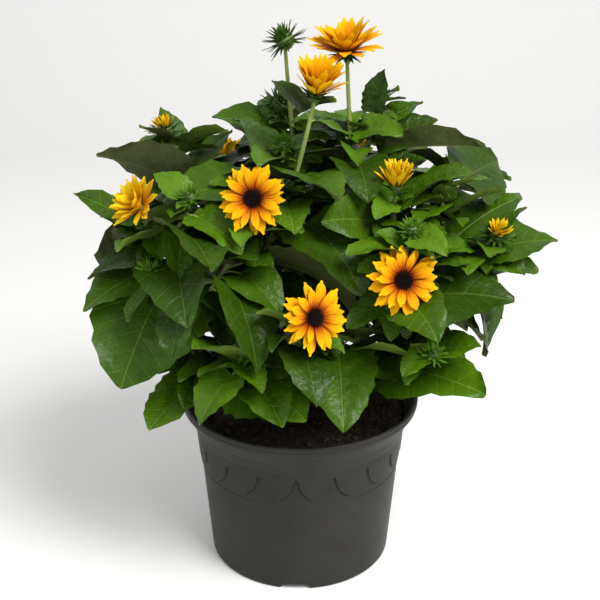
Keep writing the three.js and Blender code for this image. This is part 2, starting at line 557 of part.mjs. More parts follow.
// Whether any of the edges, as pairs of points, goes through any of a net's faces.
function pierces(edges, { points }) {
  const hit = new THREE.Vector3();
  return edges.some(([from, to]) => {
    const step = to.clone().sub(from);
    const ray = new THREE.Ray(from, step.clone().normalize());
    return NET_FACES.some(([a, b, c]) =>
      ray.intersectTriangle(points[a], points[b], points[c], false, hit) && hit.distanceTo(from) <= step.length());
  });
}

const edgesOf = ({ points }) => NET_EDGES.map(([a, b]) => [points[a], points[b]]);
const limbEdges = Object.values(centreLines).flatMap((line) => {
  const points = spread(0, LIMB_ROOM.netSteps, line);
  return points.slice(1).map((point, i) => [points[i], point]);
});

// Whether a leaf cuts through a limb's centre line or another leaf.
function cutsThrough(net, placed) {
  const close = limbEdges.filter((edge) => net.box.intersectsBox(new THREE.Box3().setFromPoints(edge)));
  if (pierces(close, net)) return true;
  return placed.some(({ net: other }) =>
    net.box.intersectsBox(other.box) && (pierces(edgesOf(net), other) || pierces(edgesOf(other), net)));
}

// A leaf held out to a given tip: a rising stalk takes what the blade doesn't, and the blade's arc ends there.
function leafTo(twig, at, tipPoint, size, droop, roll, fold, width) {
  const root = centreLines[twig].getPoint(at);
  const tip = vec(tipPoint);
  const span = tip.distanceTo(root);
  const stalk = Math.max(STALK.least * span, span - size);
  const way = tip.clone().sub(root);
  const rise = Math.asin(way.z / span) / DEG + STALK.over;
  const base = root.clone().addScaledVector(along(Math.atan2(way.y, way.x) / DEG, rise), stalk);
  const chord = tip.clone().sub(base);
  const half = (droop * DEG) / 2;
  const length = (chord.length() * half) / Math.sin(half);
  const slope = Math.asin(chord.z / chord.length()) / DEG;
  return {
    twig, root, base, bearing: Math.atan2(chord.y, chord.x) / DEG, tilt: slope + droop / 2, droop, size: length,
    roll, fold, width, rise: Math.min(STALK.steepest, slope + droop / 2 + STALK.steeper),
  };
}

// The leaves of one twig, in turn up its length, each with the first tilt and bearing that has room.
function leavesOf(twig, number, placed) {
  const { stalk, leaves: count, size: largest, turn, lift } = TWIGS[twig];
  const line = centreLines[twig];
  const length = line.getPoint(0).distanceTo(line.getPoint(1)) * BEND_LENGTH;
  const lastAt = Math.max(LEAF.lastAt, 1 - stalk / length);
  const found = [];
  for (let k = 0; k < count; k++) {
    const q = k / Math.max(1, count - 1);
    const root = line.getPoint(LEAF.firstAt + (lastAt - LEAF.firstAt) * q);
    const fromAxis = new THREE.Vector2(root.x - CROWN_AXIS[0], root.y - CROWN_AXIS[1]);
    fromAxis.divideScalar(Math.max(1, fromAxis.length()));
    const bearing = (turn + k * LEAF.turn) * DEG;
    const heading = new THREE.Vector2(Math.cos(bearing), Math.sin(bearing));
    heading.addScaledVector(fromAxis, LEAF.outward);
    const stray = (kind, of) => LEAF_STRAY[kind] * wobble(number, k, of);
    const size = largest * (1 - (1 - LEAF.smallest) * q ** LEAF.shrinking) * (1 + stray('size', 1));
    const leafFor = ([turned, tilted, share]) => {
      const leaf = {
        twig, root, size: size * share,
        bearing: Math.atan2(heading.y, heading.x) / DEG + stray('bearing', 4) + turned,
        tilt: lift * (1 - q) + LEAF.topLift * q + stray('tilt', 2) + tilted,
        droop: LEAF.footDroop * (1 - q) + LEAF.topDroop * q + stray('droop', 3),
        roll: stray('roll', 5), fold: LEAF.fold + stray('fold', 6), width: LEAF.width + stray('width', 7),
      };
      leaf.rise = Math.min(STALK.steepest, leaf.tilt + STALK.steeper);
      const stalkLength = (STALK.foot + (STALK.top - STALK.foot) * q) * leaf.size;
      leaf.base = root.clone().addScaledVector(along(leaf.bearing, leaf.rise), stalkLength / 2)
        .addScaledVector(along(leaf.bearing, leaf.tilt), stalkLength / 2);
      return leaf;
    };
    for (let t = 0; t < LEAF_TRIES.count; t++) {
      const { turn: step, tilts, shrink } = LEAF_TRIES;
      const leaf = leafFor([(-1) ** t * step * t, tilts[t % tilts.length], 1 - shrink * t]);
      const feelers = feelersOf(leaf);
      const inCrown = feelers.every(({ x, y, z }) =>
        Math.hypot(x - CROWN_AXIS[0], y - CROWN_AXIS[1]) <= crownReach(z));
      const net = netOf(leaf);
      if (inCrown && roomFor(feelers, twig, placed) > 0 && !cutsThrough(net, placed)) {
        found.push(leaf);
        placed.push({ feelers, net });
        break;
      }
    }
  }
  return found;
}

const leaves = REACHING_LEAVES.map((row) => leafTo(...row));
const placed = leaves.map((leaf) => ({ feelers: feelersOf(leaf), net: netOf(leaf) }));
Object.keys(TWIGS).forEach((twig, number) => leaves.push(...leavesOf(twig, number, placed)));

// ---------------------------------------------------------------- leaf, ray and bract solids

// A leaf with its stalk as one solid: a three-sided stalk whose last ring is the blade's foot, and a blade that
// is thick along its rib and sharp at its edge.
function leafSolid(leaf) {
  const { root, base } = leaf;
  const line = new THREE.QuadraticBezierCurve3(root, elbowOf(leaf), base);
  const steps = base.distanceTo(root) > STALK.long ? 2 : 1;
  const right = along(leaf.bearing - 90, 0);
  const points = [];
  const faces = [[0, 1, 2]];
  for (let ring = 0; ring <= steps; ring++) {
    const centre = line.getPoint(ring / steps);
    const up = right.clone().cross(line.getTangent(ring / steps));
    const corner = (across, above) =>
      centre.clone().addScaledVector(right, across * STALK.radius).addScaledVector(up, above * STALK.radius);
    points.push(corner(1, STALK.shoulder), corner(-1, STALK.shoulder), corner(0, -1));
    if (ring === 0) continue;
    for (const [p, q] of [[0, 1], [1, 2], [2, 0]]) {
      const [before, after] = [3 * ring - 3, 3 * ring];
      faces.push([before + p, after + p, before + q], [after + p, after + q, before + q]);
    }
  }
  const [r, l, b] = [3 * steps, 3 * steps + 1, 3 * steps + 2];
  const [tip, r1, r2, l1, l2, u1, u2, d1, d2] = Array.from({ length: 9 }, (_, i) => b + 1 + i);
  const ridge = (side) => LEAF_RIDGE.map((x) => leafPoint(leaf, x, 0, side * LEAF.halfThickness * leaf.size));
  const corners = (side) => LEAF_CORNERS.map(([x, y]) => leafPoint(leaf, x, y * side));
  points.push(leafPoint(leaf, 1, 0), ...corners(1), ...corners(-1), ...ridge(1), ...ridge(-1));
  faces.push([r, r1, u1], [r1, r2, u1], [r2, u2, u1], [r2, tip, u2], [r, u1, l], [l, u1, l1], [l1, u1, l2],
    [l2, u1, u2], [l2, u2, tip], [r, d1, r1], [r1, d1, r2], [r2, d1, d2], [r2, d2, tip], [r, b, d1], [b, l, d1],
    [l, l1, d1], [l1, l2, d1], [l2, d2, d1], [l2, tip, d2]);
  return facetedSolid(points, faces);
}

// A flower, bud or leafy tip as one solid on its twig's end. Each ring of its receptacle is turned by half a
// side from the one below, so the rays or bracts of one band stand between those of the next.
function headSolid(twig, number) {
  const { head, face } = TWIGS[twig];
  const { sides, rings, bands } = HEADS[head];
  const axis = along(...face);
  const centre = centreLines[twig].getPoint(1);
  const first = new THREE.Vector3(0, 0, 1).cross(axis).normalize();
  const second = axis.clone().cross(first);
  const outwards = (turn) => {
    const angle = (2 * Math.PI * turn) / sides;
    return first.clone().multiplyScalar(Math.cos(angle)).addScaledVector(second, Math.sin(angle));
  };
  const points = rings.flatMap(([radius, height], ring) => Array.from({ length: sides }, (_, i) =>
    centre.clone().addScaledVector(outwards(i + ring / 2), radius).addScaledVector(axis, height)));
  const faces = [];
  bands.forEach(({ bract, length, width, rise }, band) => {
    for (let i = 0; i < sides; i++) {
      const next = (i + 1) % sides;
      const [here, above] = [band * sides, (band + 1) * sides];
      const [a, b, c, d] = [here + i, here + next, above + next, above + i];
      const outward = outwards(i + 0.75 + band / 2);
      const angle = (rise + RAY.rise * wobble(number, i, band + 20)) * DEG;
      const way = outward.multiplyScalar(Math.cos(angle)).addScaledVector(axis, Math.sin(angle));
      const reach = length * (1 + RAY.length * wobble(number, i, band + 30));
      const root = [a, b, c, d].reduce((sum, k) => sum.add(points[k]), new THREE.Vector3()).divideScalar(4);
      const tip = points.push(root.clone().addScaledVector(way, reach)) - 1;
      if (bract) {
        faces.push([a, b, tip], [b, c, tip], [c, d, tip], [d, a, tip]);
        continue;
      }
      const side = axis.clone().cross(way).normalize();
      const middle = root.clone().addScaledVector(way, reach * RAY.widestAt);
      const left = points.push(middle.clone().addScaledVector(side, -width / 2)) - 1;
      const right = points.push(middle.clone().addScaledVector(side, width / 2)) - 1;
      const ridge = points.push(middle.clone().addScaledVector(way.clone().cross(side), RAY.thickness)) - 1;
      faces.push([a, b, right], [a, right, left], [left, right, tip], [b, c, right], [d, a, left],
        [c, d, ridge], [d, left, ridge], [left, tip, ridge], [tip, right, ridge], [right, c, ridge]);
    }
  });
  const top = bands.length * sides;
  for (let i = 1; i < sides - 1; i++) faces.push([0, i + 1, i], [top, top + i, top + i + 1]);
  return facetedSolid(points, faces);
}

// ---------------------------------------------------------------- the plant, piece by piece

const finishes = {
  pot: { color: 0x44443f, roughness: 0.45, metalness: 0 },
  mix: { color: 0x2a1d15, roughness: 1, metalness: 0 },
  stem: { color: 0x8a9a55, roughness: 0.7, metalness: 0 },
  foliage: { color: 0x3f7a2c, roughness: 0.5, metalness: 0 },
};
const materials = Object.fromEntries(
  Object.entries(finishes).map(([name, finish]) => [name, new THREE.MeshStandardMaterial({ name, ...finish })]));

const plant = new THREE.Group();
plant.name = 'sunflower_plant';

function addPiece(name, solid, material) {
  const { vertProperties, triVerts } = solid.getMesh();
  const geometry = new THREE.BufferGeometry();
  geometry.setAttribute('position', new THREE.Float32BufferAttribute(vertProperties, 3));
  geometry.setIndex(new THREE.Uint32BufferAttribute(triVerts, 1));
  const piece = new THREE.Mesh(geometry, materials[material]);
  piece.name = name;
  plant.add(piece);
}

const overlap = (a, b) => {
  const [boxA, boxB] = [a.boundingBox(), b.boundingBox()];
  const apart = [0, 1, 2].some((i) => boxA.min[i] > boxB.max[i] || boxB.min[i] > boxA.max[i]);
  return !apart && !a.intersect(b).isEmpty();
};

// Rigid pieces first. Each bough is cut clear of its stem and of the boughs made before it.
const rigid = { pot: pot(), potting_mix: pottingMix() };
for (const name of Object.keys(STEMS)) rigid[name] = stemSolid(name);
const grown = Object.keys(STEMS).map((name) => limbSolid(name, CLEARANCE));
for (const name of Object.keys(BOUGHS)) {
  rigid[name] = largestBody(limbSolid(name).subtract(Manifold.union(grown)));
  grown.push(limbSolid(name, CLEARANCE));
}
const limbsGrown = Manifold.union(grown);

// Each mass starts as its twigs with their heads, cut clear of the limbs, and then takes the leaves that
// touch nothing of another piece. The leaves that reach furthest are taken first.
const massOf = (twig) => (TWIGS[twig].on in TWIGS ? massOf(TWIGS[twig].on) : twig);
const masses = {};
Object.keys(TWIGS).forEach((twig, number) => {
  const parts = (masses[massOf(twig)] ??= []);
  const shaft = limb(centreLines[twig], evenTaper(TWIG), TWIG.sides);
  parts.push(twig === massOf(twig) ? largestBody(shaft.subtract(limbsGrown)) : shaft, headSolid(twig, number));
});
for (const leaf of leaves) {
  const own = massOf(leaf.twig);
  const solid = leafSolid(leaf);
  const others = Object.entries(masses).filter(([mass]) => mass !== own).flatMap(([, parts]) => parts);
  if (![...Object.values(rigid), ...others].some((other) => overlap(solid, other))) masses[own].push(solid);
}

const finishOf = (name) => ({ pot: 'pot', potting_mix: 'mix' })[name] ?? 'stem';
for (const [name, solid] of Object.entries(rigid)) addPiece(name, solid, finishOf(name));
for (const [mass, parts] of Object.entries(masses)) {
  addPiece(`foliage_${mass}`, largestBody(Manifold.union(parts)), 'foliage');
}

export default plant;
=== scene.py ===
import math
import bpy
import numpy as np
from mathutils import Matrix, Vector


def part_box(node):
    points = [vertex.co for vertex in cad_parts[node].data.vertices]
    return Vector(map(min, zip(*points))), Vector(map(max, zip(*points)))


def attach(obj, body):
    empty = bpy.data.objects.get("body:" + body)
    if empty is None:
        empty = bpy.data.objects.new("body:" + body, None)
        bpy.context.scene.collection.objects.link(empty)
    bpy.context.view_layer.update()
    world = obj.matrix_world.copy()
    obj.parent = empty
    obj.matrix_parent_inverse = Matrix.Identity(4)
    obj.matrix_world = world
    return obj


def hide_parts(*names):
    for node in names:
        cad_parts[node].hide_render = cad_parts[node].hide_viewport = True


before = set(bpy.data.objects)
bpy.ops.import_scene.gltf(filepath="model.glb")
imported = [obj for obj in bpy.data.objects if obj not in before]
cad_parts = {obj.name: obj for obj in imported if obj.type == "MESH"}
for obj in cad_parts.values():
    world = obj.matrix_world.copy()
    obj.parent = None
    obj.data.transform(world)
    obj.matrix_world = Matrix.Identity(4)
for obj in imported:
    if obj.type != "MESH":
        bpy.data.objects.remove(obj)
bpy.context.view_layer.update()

nodes = list(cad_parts)

# ---------------------------------------------------------------- nursery pot
# A round nursery pot, injection-moulded in satin dark grey plastic. A skirt of rounded tongues stands out a
# little from its tapered wall, fine ridges run round the collar, and notches in the foot let water out.

# Lengths are in metres and heights are above the floor. A tongue's edge is its foot's height, how quickly it
# rises and where it ends, and a notch's width is given at its top and at the foot.
pot_low, pot_high = (np.array(corner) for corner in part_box("pot"))
RIM_RADIUS = (pot_high[0] - pot_low[0]) / 2
POT_HEIGHT = pot_high[2]
FOOT_RADIUS = 0.093
POT_WALL = 0.0025
POT_FLOOR = 0.0105
WALL_SLOPE = 0.085
POT_SIDES = 504
ROW_STEP, INNER_ROW_STEP = 0.0007, 0.006
PLAIN_TOP, PLAIN_ROWS = 0.0985, 8
TONGUE_COUNT, TONGUE_TURN = 18, math.radians(-92)
TONGUE_FOOT, TONGUE_SPREAD, TONGUE_APEX = 0.1075, 0.009, 0.1335
TONGUE_PROUD, TONGUE_GAP, TONGUE_CROWDING = 0.0018, 0.04, 0.08
BAND_LOW, EDGE_ROW, BAND_HIGH, EDGE_SOFT = 0.1055, 0.117, 0.1395, 0.0005
SKIRT_LINE, COLLAR_LINE = 0.1035, 0.1405
GROOVE_DEPTH, GROOVE_WIDTH, GROOVE_BELOW = 0.0007, 0.0008, 0.0004
FLARE_LOW, FLARE_HIGH = 0.150, 0.166
RIDGES_LOW, RIDGES_HIGH, RIDGE_STEP, RIDGE_PROUD = 0.1555, 0.1705, 0.0043, 0.00035
NOTCH_COUNT, NOTCH_TURN = 3, math.radians(-93)
NOTCH_TOP, NOTCH_FOOT, NOTCH_HEIGHT, NOTCH_DEPTH = 0.022, 0.030, 0.007, 0.018


def smooth_step(value, low, high):
    """0 below low, 1 above high, and an even S between them: 3 t squared less 2 t cubed."""
    t = np.clip((value - low) / (high - low), 0, 1)
    return t * t * (3 - 2 * t)


def rounded(corners, size, steps=5):
    """A polyline with each inner corner replaced by a quadratic curve that starts and ends size away from it.

    On a short side the curve starts and ends at 0.45 of the side's length at most.
    """
    corners = np.asarray(corners, float)
    path = [corners[:1]]
    t = np.linspace(0, 1, steps)[:, None]
    for before, corner, after in zip(corners[:-2], corners[1:-1], corners[2:]):
        ends = [corner + (end - corner) * min(size / np.linalg.norm(end - corner), 0.45)
                for end in (before, after)]
        path.append((1 - t) ** 2 * ends[0] + 2 * t * (1 - t) * corner + t * t * ends[1])
    return np.concatenate(path + [corners[-1:]])


def evenly(path, spacing):
    """The same polyline with points about spacing apart, measured along it."""
    along = np.concatenate([[0], np.cumsum(np.linalg.norm(np.diff(path, axis=0), axis=1))])
    shares = np.linspace(0, along[-1], max(2, round(along[-1] / spacing) + 1))
    return np.stack([np.interp(shares, along, path[:, axis]) for axis in range(path.shape[1])], 1)


def skin_faces(rows, ring):
    """Faces of one closed skin: point 0 is its foot, then come rows of ring points, and the last is its tip.

    Four-cornered faces join each row to the next, and three-cornered ones close the foot and the tip.
    """
    here = np.arange(ring)
    after = (here + 1) % ring
    starts = 1 + ring * np.arange(rows - 1)[:, None]
    quads = np.stack([starts + here, starts + after, starts + after + ring, starts + here + ring], -1)
    last = 1 + ring * (rows - 1)
    foot = np.stack([0 * here, 1 + after, 1 + here], -1)
    tip = np.stack([last + here, last + after, 0 * here + last + ring], -1)
    return quads.reshape(-1, 4), np.concatenate([foot, tip])


def skin_piece(name, skins, rows, ring, crease=None, upper=None):
    """One piece of many closed skins, smooth shaded up to the crease angle, with the column of each face.

    skins is a list of arrays of rows * ring + 2 points, as skin_faces orders them. Where a skin is a thin
    sheet, upper is how many columns its upper side has, and its faces are split so that both sides bend along
    the same lines.
    """
    size = rows * ring + 2
    starts = size * np.arange(len(skins))[:, None, None]
    quads, ends = skin_faces(rows, ring)
    quads = (quads + starts).reshape(-1, 4)
    ends = (ends + starts).reshape(-1, 3)
    columns = np.tile(np.arange(ring), (rows - 1) * len(skins))
    if upper:
        above = (columns < upper)[:, None]
        quads = np.concatenate([np.where(above, quads[:, [0, 1, 2]], quads[:, [0, 1, 3]]),
                                np.where(above, quads[:, [0, 2, 3]], quads[:, [1, 2, 3]])])
        columns = np.tile(columns, 2)
    mesh = bpy.data.meshes.new(name)
    mesh.from_pydata(np.concatenate(skins).tolist(), [], quads.tolist() + ends.tolist())
    mesh.shade_smooth()
    if crease:
        mesh.set_sharp_from_angle(angle=math.radians(crease))
    piece = bpy.data.objects.new(name, mesh)
    bpy.context.scene.collection.objects.link(piece)
    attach(piece, "root")
    return piece, np.concatenate([columns, np.tile(np.arange(ring), 2 * len(skins))])


class Shader:
    """A material's node tree around its Principled shader, with short ways to add and link nodes."""

    def __init__(self, name, **sockets):
        self.material = bpy.data.materials.new(name)
        self.material.use_nodes = True
        self.tree = self.material.node_tree
        self.surface = self.tree.nodes["Principled BSDF"]
        for socket, value in sockets.items():
            self.surface.inputs[socket.replace("_", " ")].default_value = value

    def node(self, kind, links=None, **settings):
        """A node with its settings and its input links, from socket name or number to value or output."""
        made = self.tree.nodes.new(kind)
        for key, value in settings.items():
            setattr(made, key, value)
        for key, value in (links or {}).items():
            self.feed(made.inputs[key], value)
        return made

    def feed(self, socket, value):
        """Link an output to a socket, or set it to a value."""
        if isinstance(value, bpy.types.NodeSocket):
            self.tree.links.new(value, socket)
        else:
            socket.default_value = value

    def math(self, operation, first, second=0.0):
        """The result of one operation on two values or outputs."""
        return self.node("ShaderNodeMath", {0: first, 1: second}, operation=operation).outputs[0]

    def place(self, stretch=(1, 1, 1)):
        """Object coordinates, stretched along each axis."""
        spot = self.node("ShaderNodeTexCoord").outputs["Object"]
        return self.node("ShaderNodeMapping", {"Vector": spot, "Scale": stretch}).outputs[0]

    def noise(self, scale, spot=None, detail=4.0, roughness=0.55):
        """A noise pattern, in cells per metre, from 0 to 1."""
        links = {"Vector": spot or self.place(), "Scale": scale, "Detail": detail, "Roughness": roughness}
        return self.node("ShaderNodeTexNoise", links).outputs["Fac"]

    def ramp(self, value, *stops):
        """A colour for each value: stops are pairs of place and colour."""
        ramp = self.node("ShaderNodeValToRGB", {"Fac": value})
        elements = ramp.color_ramp.elements
        while len(elements) < len(stops):
            elements.new(0.5)
        for element, (spot, colour) in zip(elements, stops):
            element.position = spot
            element.color = (*colour, 1)
        return ramp.outputs[0]

    def mix(self, share, first, second):
        """A share of the way from the first colour, an output, to the second, three numbers."""
        links = {0: share, 6: first, 7: (*second, 1)}
        return self.node("ShaderNodeMix", links, data_type="RGBA").outputs[2]

    def smooth(self, value, low, high, top=1.0):
        """0 where the value is at low, top where it is at high, and an even S between them."""
        links = {"Value": value, "From Min": low, "From Max": high, "To Max": top}
        return self.node("ShaderNodeMapRange", links, interpolation_type="SMOOTHSTEP").outputs[0]

    def bump(self, height, distance, strength=1.0):
        """Tilt the surface as if it stood up by the height, from 0 to 1, times a distance in metres."""
        bump = self.node("ShaderNodeBump", {"Height": height, "Strength": strength, "Distance": distance})
        self.feed(self.surface.inputs["Normal"], bump.outputs[0])

    def colour(self, value):
        """Give the surface its colour."""
        self.feed(self.surface.inputs["Base Color"], value)


def pot_section():
    """The pot's half section as (radius, height), from the middle of its foot over the rim and down inside.

    It comes twice, beside and through a drain notch, with how many of its rows, from the first, are outside.
    Where the wall is plain, only one row in PLAIN_ROWS is kept.
    """
    lip = RIM_RADIUS - 0.0006
    wall = [(FOOT_RADIUS, 0), (0.1045, 0.140), (0.1080, 0.153), (0.1172, 0.165), (lip, 0.1680), (lip, 0.1722),
            (RIM_RADIUS, 0.1728), (RIM_RADIUS, 0.1748), (lip, POT_HEIGHT), (RIM_RADIUS - 0.0018, POT_HEIGHT),
            (RIM_RADIUS - 0.0045, POT_HEIGHT - 0.0022), (RIM_RADIUS - 0.0075, 0.166), (0.1055, 0.153),
            (0.1020, 0.140), (FOOT_RADIUS - POT_WALL + 0.001, 0.011), (0.03, POT_FLOOR)]
    inner_foot = FOOT_RADIUS - NOTCH_DEPTH
    foot = np.array([(0.02, 0), (inner_foot, 0), (inner_foot + 0.006, 0), (inner_foot + 0.012, 0),
                     (FOOT_RADIUS - 0.0015, 0.0002), (FOOT_RADIUS, 0.0016), (FOOT_RADIUS + 0.0003, 0.004),
                     (FOOT_RADIUS + 0.0006, NOTCH_HEIGHT)])
    notch = np.array([(0.02, 0), (inner_foot, 0), (inner_foot, NOTCH_HEIGHT / 2), (inner_foot, NOTCH_HEIGHT),
                      (inner_foot + 0.009, NOTCH_HEIGHT), (FOOT_RADIUS - 0.004, NOTCH_HEIGHT),
                      (FOOT_RADIUS, NOTCH_HEIGHT), (FOOT_RADIUS + 0.0006, NOTCH_HEIGHT)])
    path = rounded(wall, 0.0016)
    above = np.concatenate([foot[-1:], path[path[:, 1] > NOTCH_HEIGHT]])
    turn_back = int(np.argmax(above[:, 1])) + 6
    outer = evenly(above[:turn_back], ROW_STEP)
    skipped = (outer[:, 1] < PLAIN_TOP) & (np.arange(len(outer)) % PLAIN_ROWS > 0)
    rest = np.concatenate([outer[~skipped], evenly(above[turn_back:], INNER_ROW_STEP)])[1:]
    outside = len(foot) + int(np.argmax(rest[:, 1])) + 1
    return np.concatenate([foot, rest]), np.concatenate([notch, rest]), outside


def groove(height, middle):
    """How deep a groove round the wall is at a height: a bell curve about its middle."""
    return GROOVE_DEPTH * np.exp(-((height - middle) / GROOVE_WIDTH) ** 2)


def pot_skin():
    """The pot's points: its half section turned about Z, with the relief added to the radius, and its rows.

    The wall stands out by TONGUE_PROUD above each tongue's rounded foot, which rises towards the next tongue
    as less the logarithm of the share of the way that is left. Rows between BAND_LOW and BAND_HIGH are moved
    up or down the wall in proportion, so that EDGE_ROW runs along that edge, and columns lie closer between
    two tongues. Within a notch, the foot's rows follow the notch's own section.
    """
    section, notched, outside = pot_section()
    pitch = 2 * math.pi / TONGUE_COUNT
    even = 2 * math.pi * np.arange(POT_SIDES) / POT_SIDES
    angle = TONGUE_TURN + even - TONGUE_CROWDING * pitch * np.sin(2 * math.pi * even / pitch)
    apart = 2 * math.pi / NOTCH_COUNT
    off_notch = np.abs((angle - NOTCH_TURN + apart / 2) % apart - apart / 2) * FOOT_RADIUS
    in_notch = 1 - smooth_step(off_notch, NOTCH_TOP / 2, NOTCH_FOOT / 2)
    radius, height = (section + in_notch[:, None, None] * (notched - section)).T

    share = np.abs(2 * ((angle - TONGUE_TURN) / pitch % 1) - 1) / (1 - TONGUE_GAP)
    tongue_edge = np.minimum(TONGUE_FOOT - TONGUE_SPREAD * np.log(np.maximum(1 - share, 0.001)), TONGUE_APEX)
    proud = TONGUE_PROUD * smooth_step(height, EDGE_ROW - EDGE_SOFT, EDGE_ROW + EDGE_SOFT)
    proud -= groove(height, EDGE_ROW - GROOVE_BELOW)
    below = BAND_LOW + (height - BAND_LOW) * (tongue_edge - BAND_LOW) / (EDGE_ROW - BAND_LOW)
    beyond = BAND_HIGH - (BAND_HIGH - height) * (BAND_HIGH - tongue_edge) / (BAND_HIGH - EDGE_ROW)
    in_band = (height > BAND_LOW) & (height < BAND_HIGH) & (np.arange(len(section)) < outside)[:, None]
    moved = np.where(in_band, np.where(height < EDGE_ROW, below, beyond), height)
    radius = radius + WALL_SLOPE * (moved - height)
    proud *= 1 - smooth_step(moved, FLARE_LOW, FLARE_HIGH)
    proud -= groove(moved, SKIRT_LINE) + groove(moved, COLLAR_LINE) / 2
    ridges = 0.5 - 0.5 * np.cos((moved - RIDGES_LOW) * 2 * math.pi / RIDGE_STEP)
    proud += RIDGE_PROUD * ridges * (moved > RIDGES_LOW) * (moved < RIDGES_HIGH)
    proud[outside:] = 0
    radius = radius + proud

    points = np.stack([radius * np.cos(angle), radius * np.sin(angle), moved], -1).reshape(-1, 3)
    return np.concatenate([[(0, 0, 0)], points, [(0, 0, POT_FLOOR)]]), len(section)


points, rows = pot_skin()
pot, _ = skin_piece("nursery_pot", [points], rows, POT_SIDES)
plastic = Shader("satin_pot_plastic", Specular_IOR_Level=0.07)
plastic.colour(plastic.ramp(plastic.noise(26), (0.3, (0.028, 0.0275, 0.024)), (0.7, (0.036, 0.0353, 0.031))))
plastic.bump(plastic.noise(2600, detail=2), 0.00008, 0.5)
sheen = plastic.node("ShaderNodeMapRange", {"Value": plastic.noise(60), "To Min": 0.38, "To Max": 0.46})
plastic.feed(plastic.surface.inputs["Roughness"], sheen.outputs[0])
pot.data.materials.append(plastic.material)
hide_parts("pot")

# ---------------------------------------------------------------- potting mix
# Moist dark peat, filled in by hand and pressed down to two centimetres below the rim. It is banked up a
# little against the wall, and crumbs and reddish bits of bark lie loose on it.

mix_low, mix_high = (np.array(corner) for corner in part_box("potting_mix"))
MIX_TOP = mix_high[2]
MIX_RADIUS = (mix_high[0] - mix_low[0]) / 2
MIX_UNDER, MIX_SHOULDER = 0.146, 0.150
MIX_RINGS, MIX_RING = 62, 180
MIX_SUNK, WALL_BANK, BANK_WIDTH = 0.002, 0.004, 0.010
MOUND_HEIGHT, MOUND_SIZE = 0.0016, 0.019
LUMP_HEIGHT, LUMP_SIZE = 0.0009, 0.0047
GRIT_HEIGHT = 0.0008
draw = np.random.default_rng(7)


def mounds(x, y, size):
    """Soft mounds: the product of two waves across each other, size apart, from -1 to 1."""
    return np.sin(x / size + 1.3 * np.sin(y / size)) * np.cos(y / size * 1.2 + 0.7)


radii = np.concatenate([[0.6 * MIX_RADIUS, MIX_RADIUS - 0.002, MIX_RADIUS],
                        np.linspace(MIX_RADIUS, 0.002, MIX_RINGS)])
heights = np.concatenate([[MIX_UNDER, MIX_UNDER, MIX_SHOULDER], np.full(MIX_RINGS, MIX_TOP)])
angle = 2 * math.pi * np.arange(MIX_RING) / MIX_RING
x, y = radii[:, None] * np.cos(angle), radii[:, None] * np.sin(angle)
z = np.repeat(heights[:, None], MIX_RING, axis=1)
near_wall = smooth_step(radii, MIX_RADIUS - BANK_WIDTH, MIX_RADIUS)[:, None]
crumble = (MOUND_HEIGHT * mounds(x, y, MOUND_SIZE) + LUMP_HEIGHT * mounds(y, x, LUMP_SIZE)
           + draw.normal(0, GRIT_HEIGHT, x.shape))
from_middle = smooth_step(radii, 0.0, 0.02)[:, None]
z[3:] += (crumble * from_middle - MIX_SUNK + WALL_BANK * near_wall)[3:]
surface = np.stack([x, y, z], -1).reshape(-1, 3)
points = np.concatenate([[(0, 0, MIX_UNDER)], surface, [(0, 0, MIX_TOP - MIX_SUNK)]])
peat_bed, _ = skin_piece("peat_bed", [points], len(radii), MIX_RING)
peat = Shader("moist_peat", Roughness=0.95)
clods = peat.noise(900, detail=6, roughness=0.7)
peat.colour(peat.ramp(
    clods, (0.30, (0.006, 0.004, 0.003)), (0.55, (0.022, 0.013, 0.009)), (0.75, (0.060, 0.030, 0.018))))
peat.bump(clods, 0.0012)
peat_bed.data.materials.append(peat.material)
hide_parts("potting_mix")

CRUMBS, CRUMB_RING = 1500, 5
CRUMB_ROWS = np.array([-0.36, 0.0, 0.36])
CRUMB_GIRTH = np.array([0.75, 1.0, 0.7])


def crumb(place, length, thickness):
    """A lump: three rings of points with uneven radii about a random direction, closed at both ends."""
    lengthways, side, up = np.linalg.qr(draw.normal(0, 1, (3, 3)))[0]
    spin = 2 * math.pi * np.arange(CRUMB_RING) / CRUMB_RING
    radius = thickness / 2 * CRUMB_GIRTH[:, None] * draw.uniform(0.7, 1.3, (3, CRUMB_RING))
    ring = radius[..., None] * (np.cos(spin)[:, None] * side + np.sin(spin)[:, None] * up)
    body = (CRUMB_ROWS[:, None, None] * length * lengthways + ring).reshape(-1, 3)
    return place + np.concatenate([[-length / 2 * lengthways], body, [length / 2 * lengthways]])


for kind, count, shortest, longest, colour in (
        ("peat_crumbs", CRUMBS, 0.002, 0.0055, (0.017, 0.010, 0.007)),
        ("bark_bits", CRUMBS // 3, 0.003, 0.008, (0.070, 0.033, 0.018))):
    spots = []
    for _ in range(count):
        radius = (MIX_RADIUS - 0.006) * math.sqrt(draw.uniform())
        bearing = draw.uniform(0, 2 * math.pi)
        height = MIX_TOP - draw.uniform(0.0005, 0.0025)
        place = np.array([radius * math.cos(bearing), radius * math.sin(bearing), height])
        length = draw.uniform(shortest, longest)
        spots.append(crumb(place, length, length * draw.uniform(0.2, 0.55)))
    bits, _ = skin_piece(kind, spots, 3, CRUMB_RING)
    finish = Shader(kind + "_finish", Roughness=0.9)
    dull, bright = (tuple(share * c for c in colour) for share in (0.45, 1.6))
    finish.colour(finish.ramp(finish.noise(700, detail=5), (0.3, dull), (0.75, bright)))
    bits.data.materials.append(finish.material)

# ---------------------------------------------------------------- stems and boughs
# The plant was pinched out while young, so three green stems stand in the pot, faintly ribbed and flared at
# their feet. Side branches grow out of their leaf joints from a small collar and thin out towards their ends.

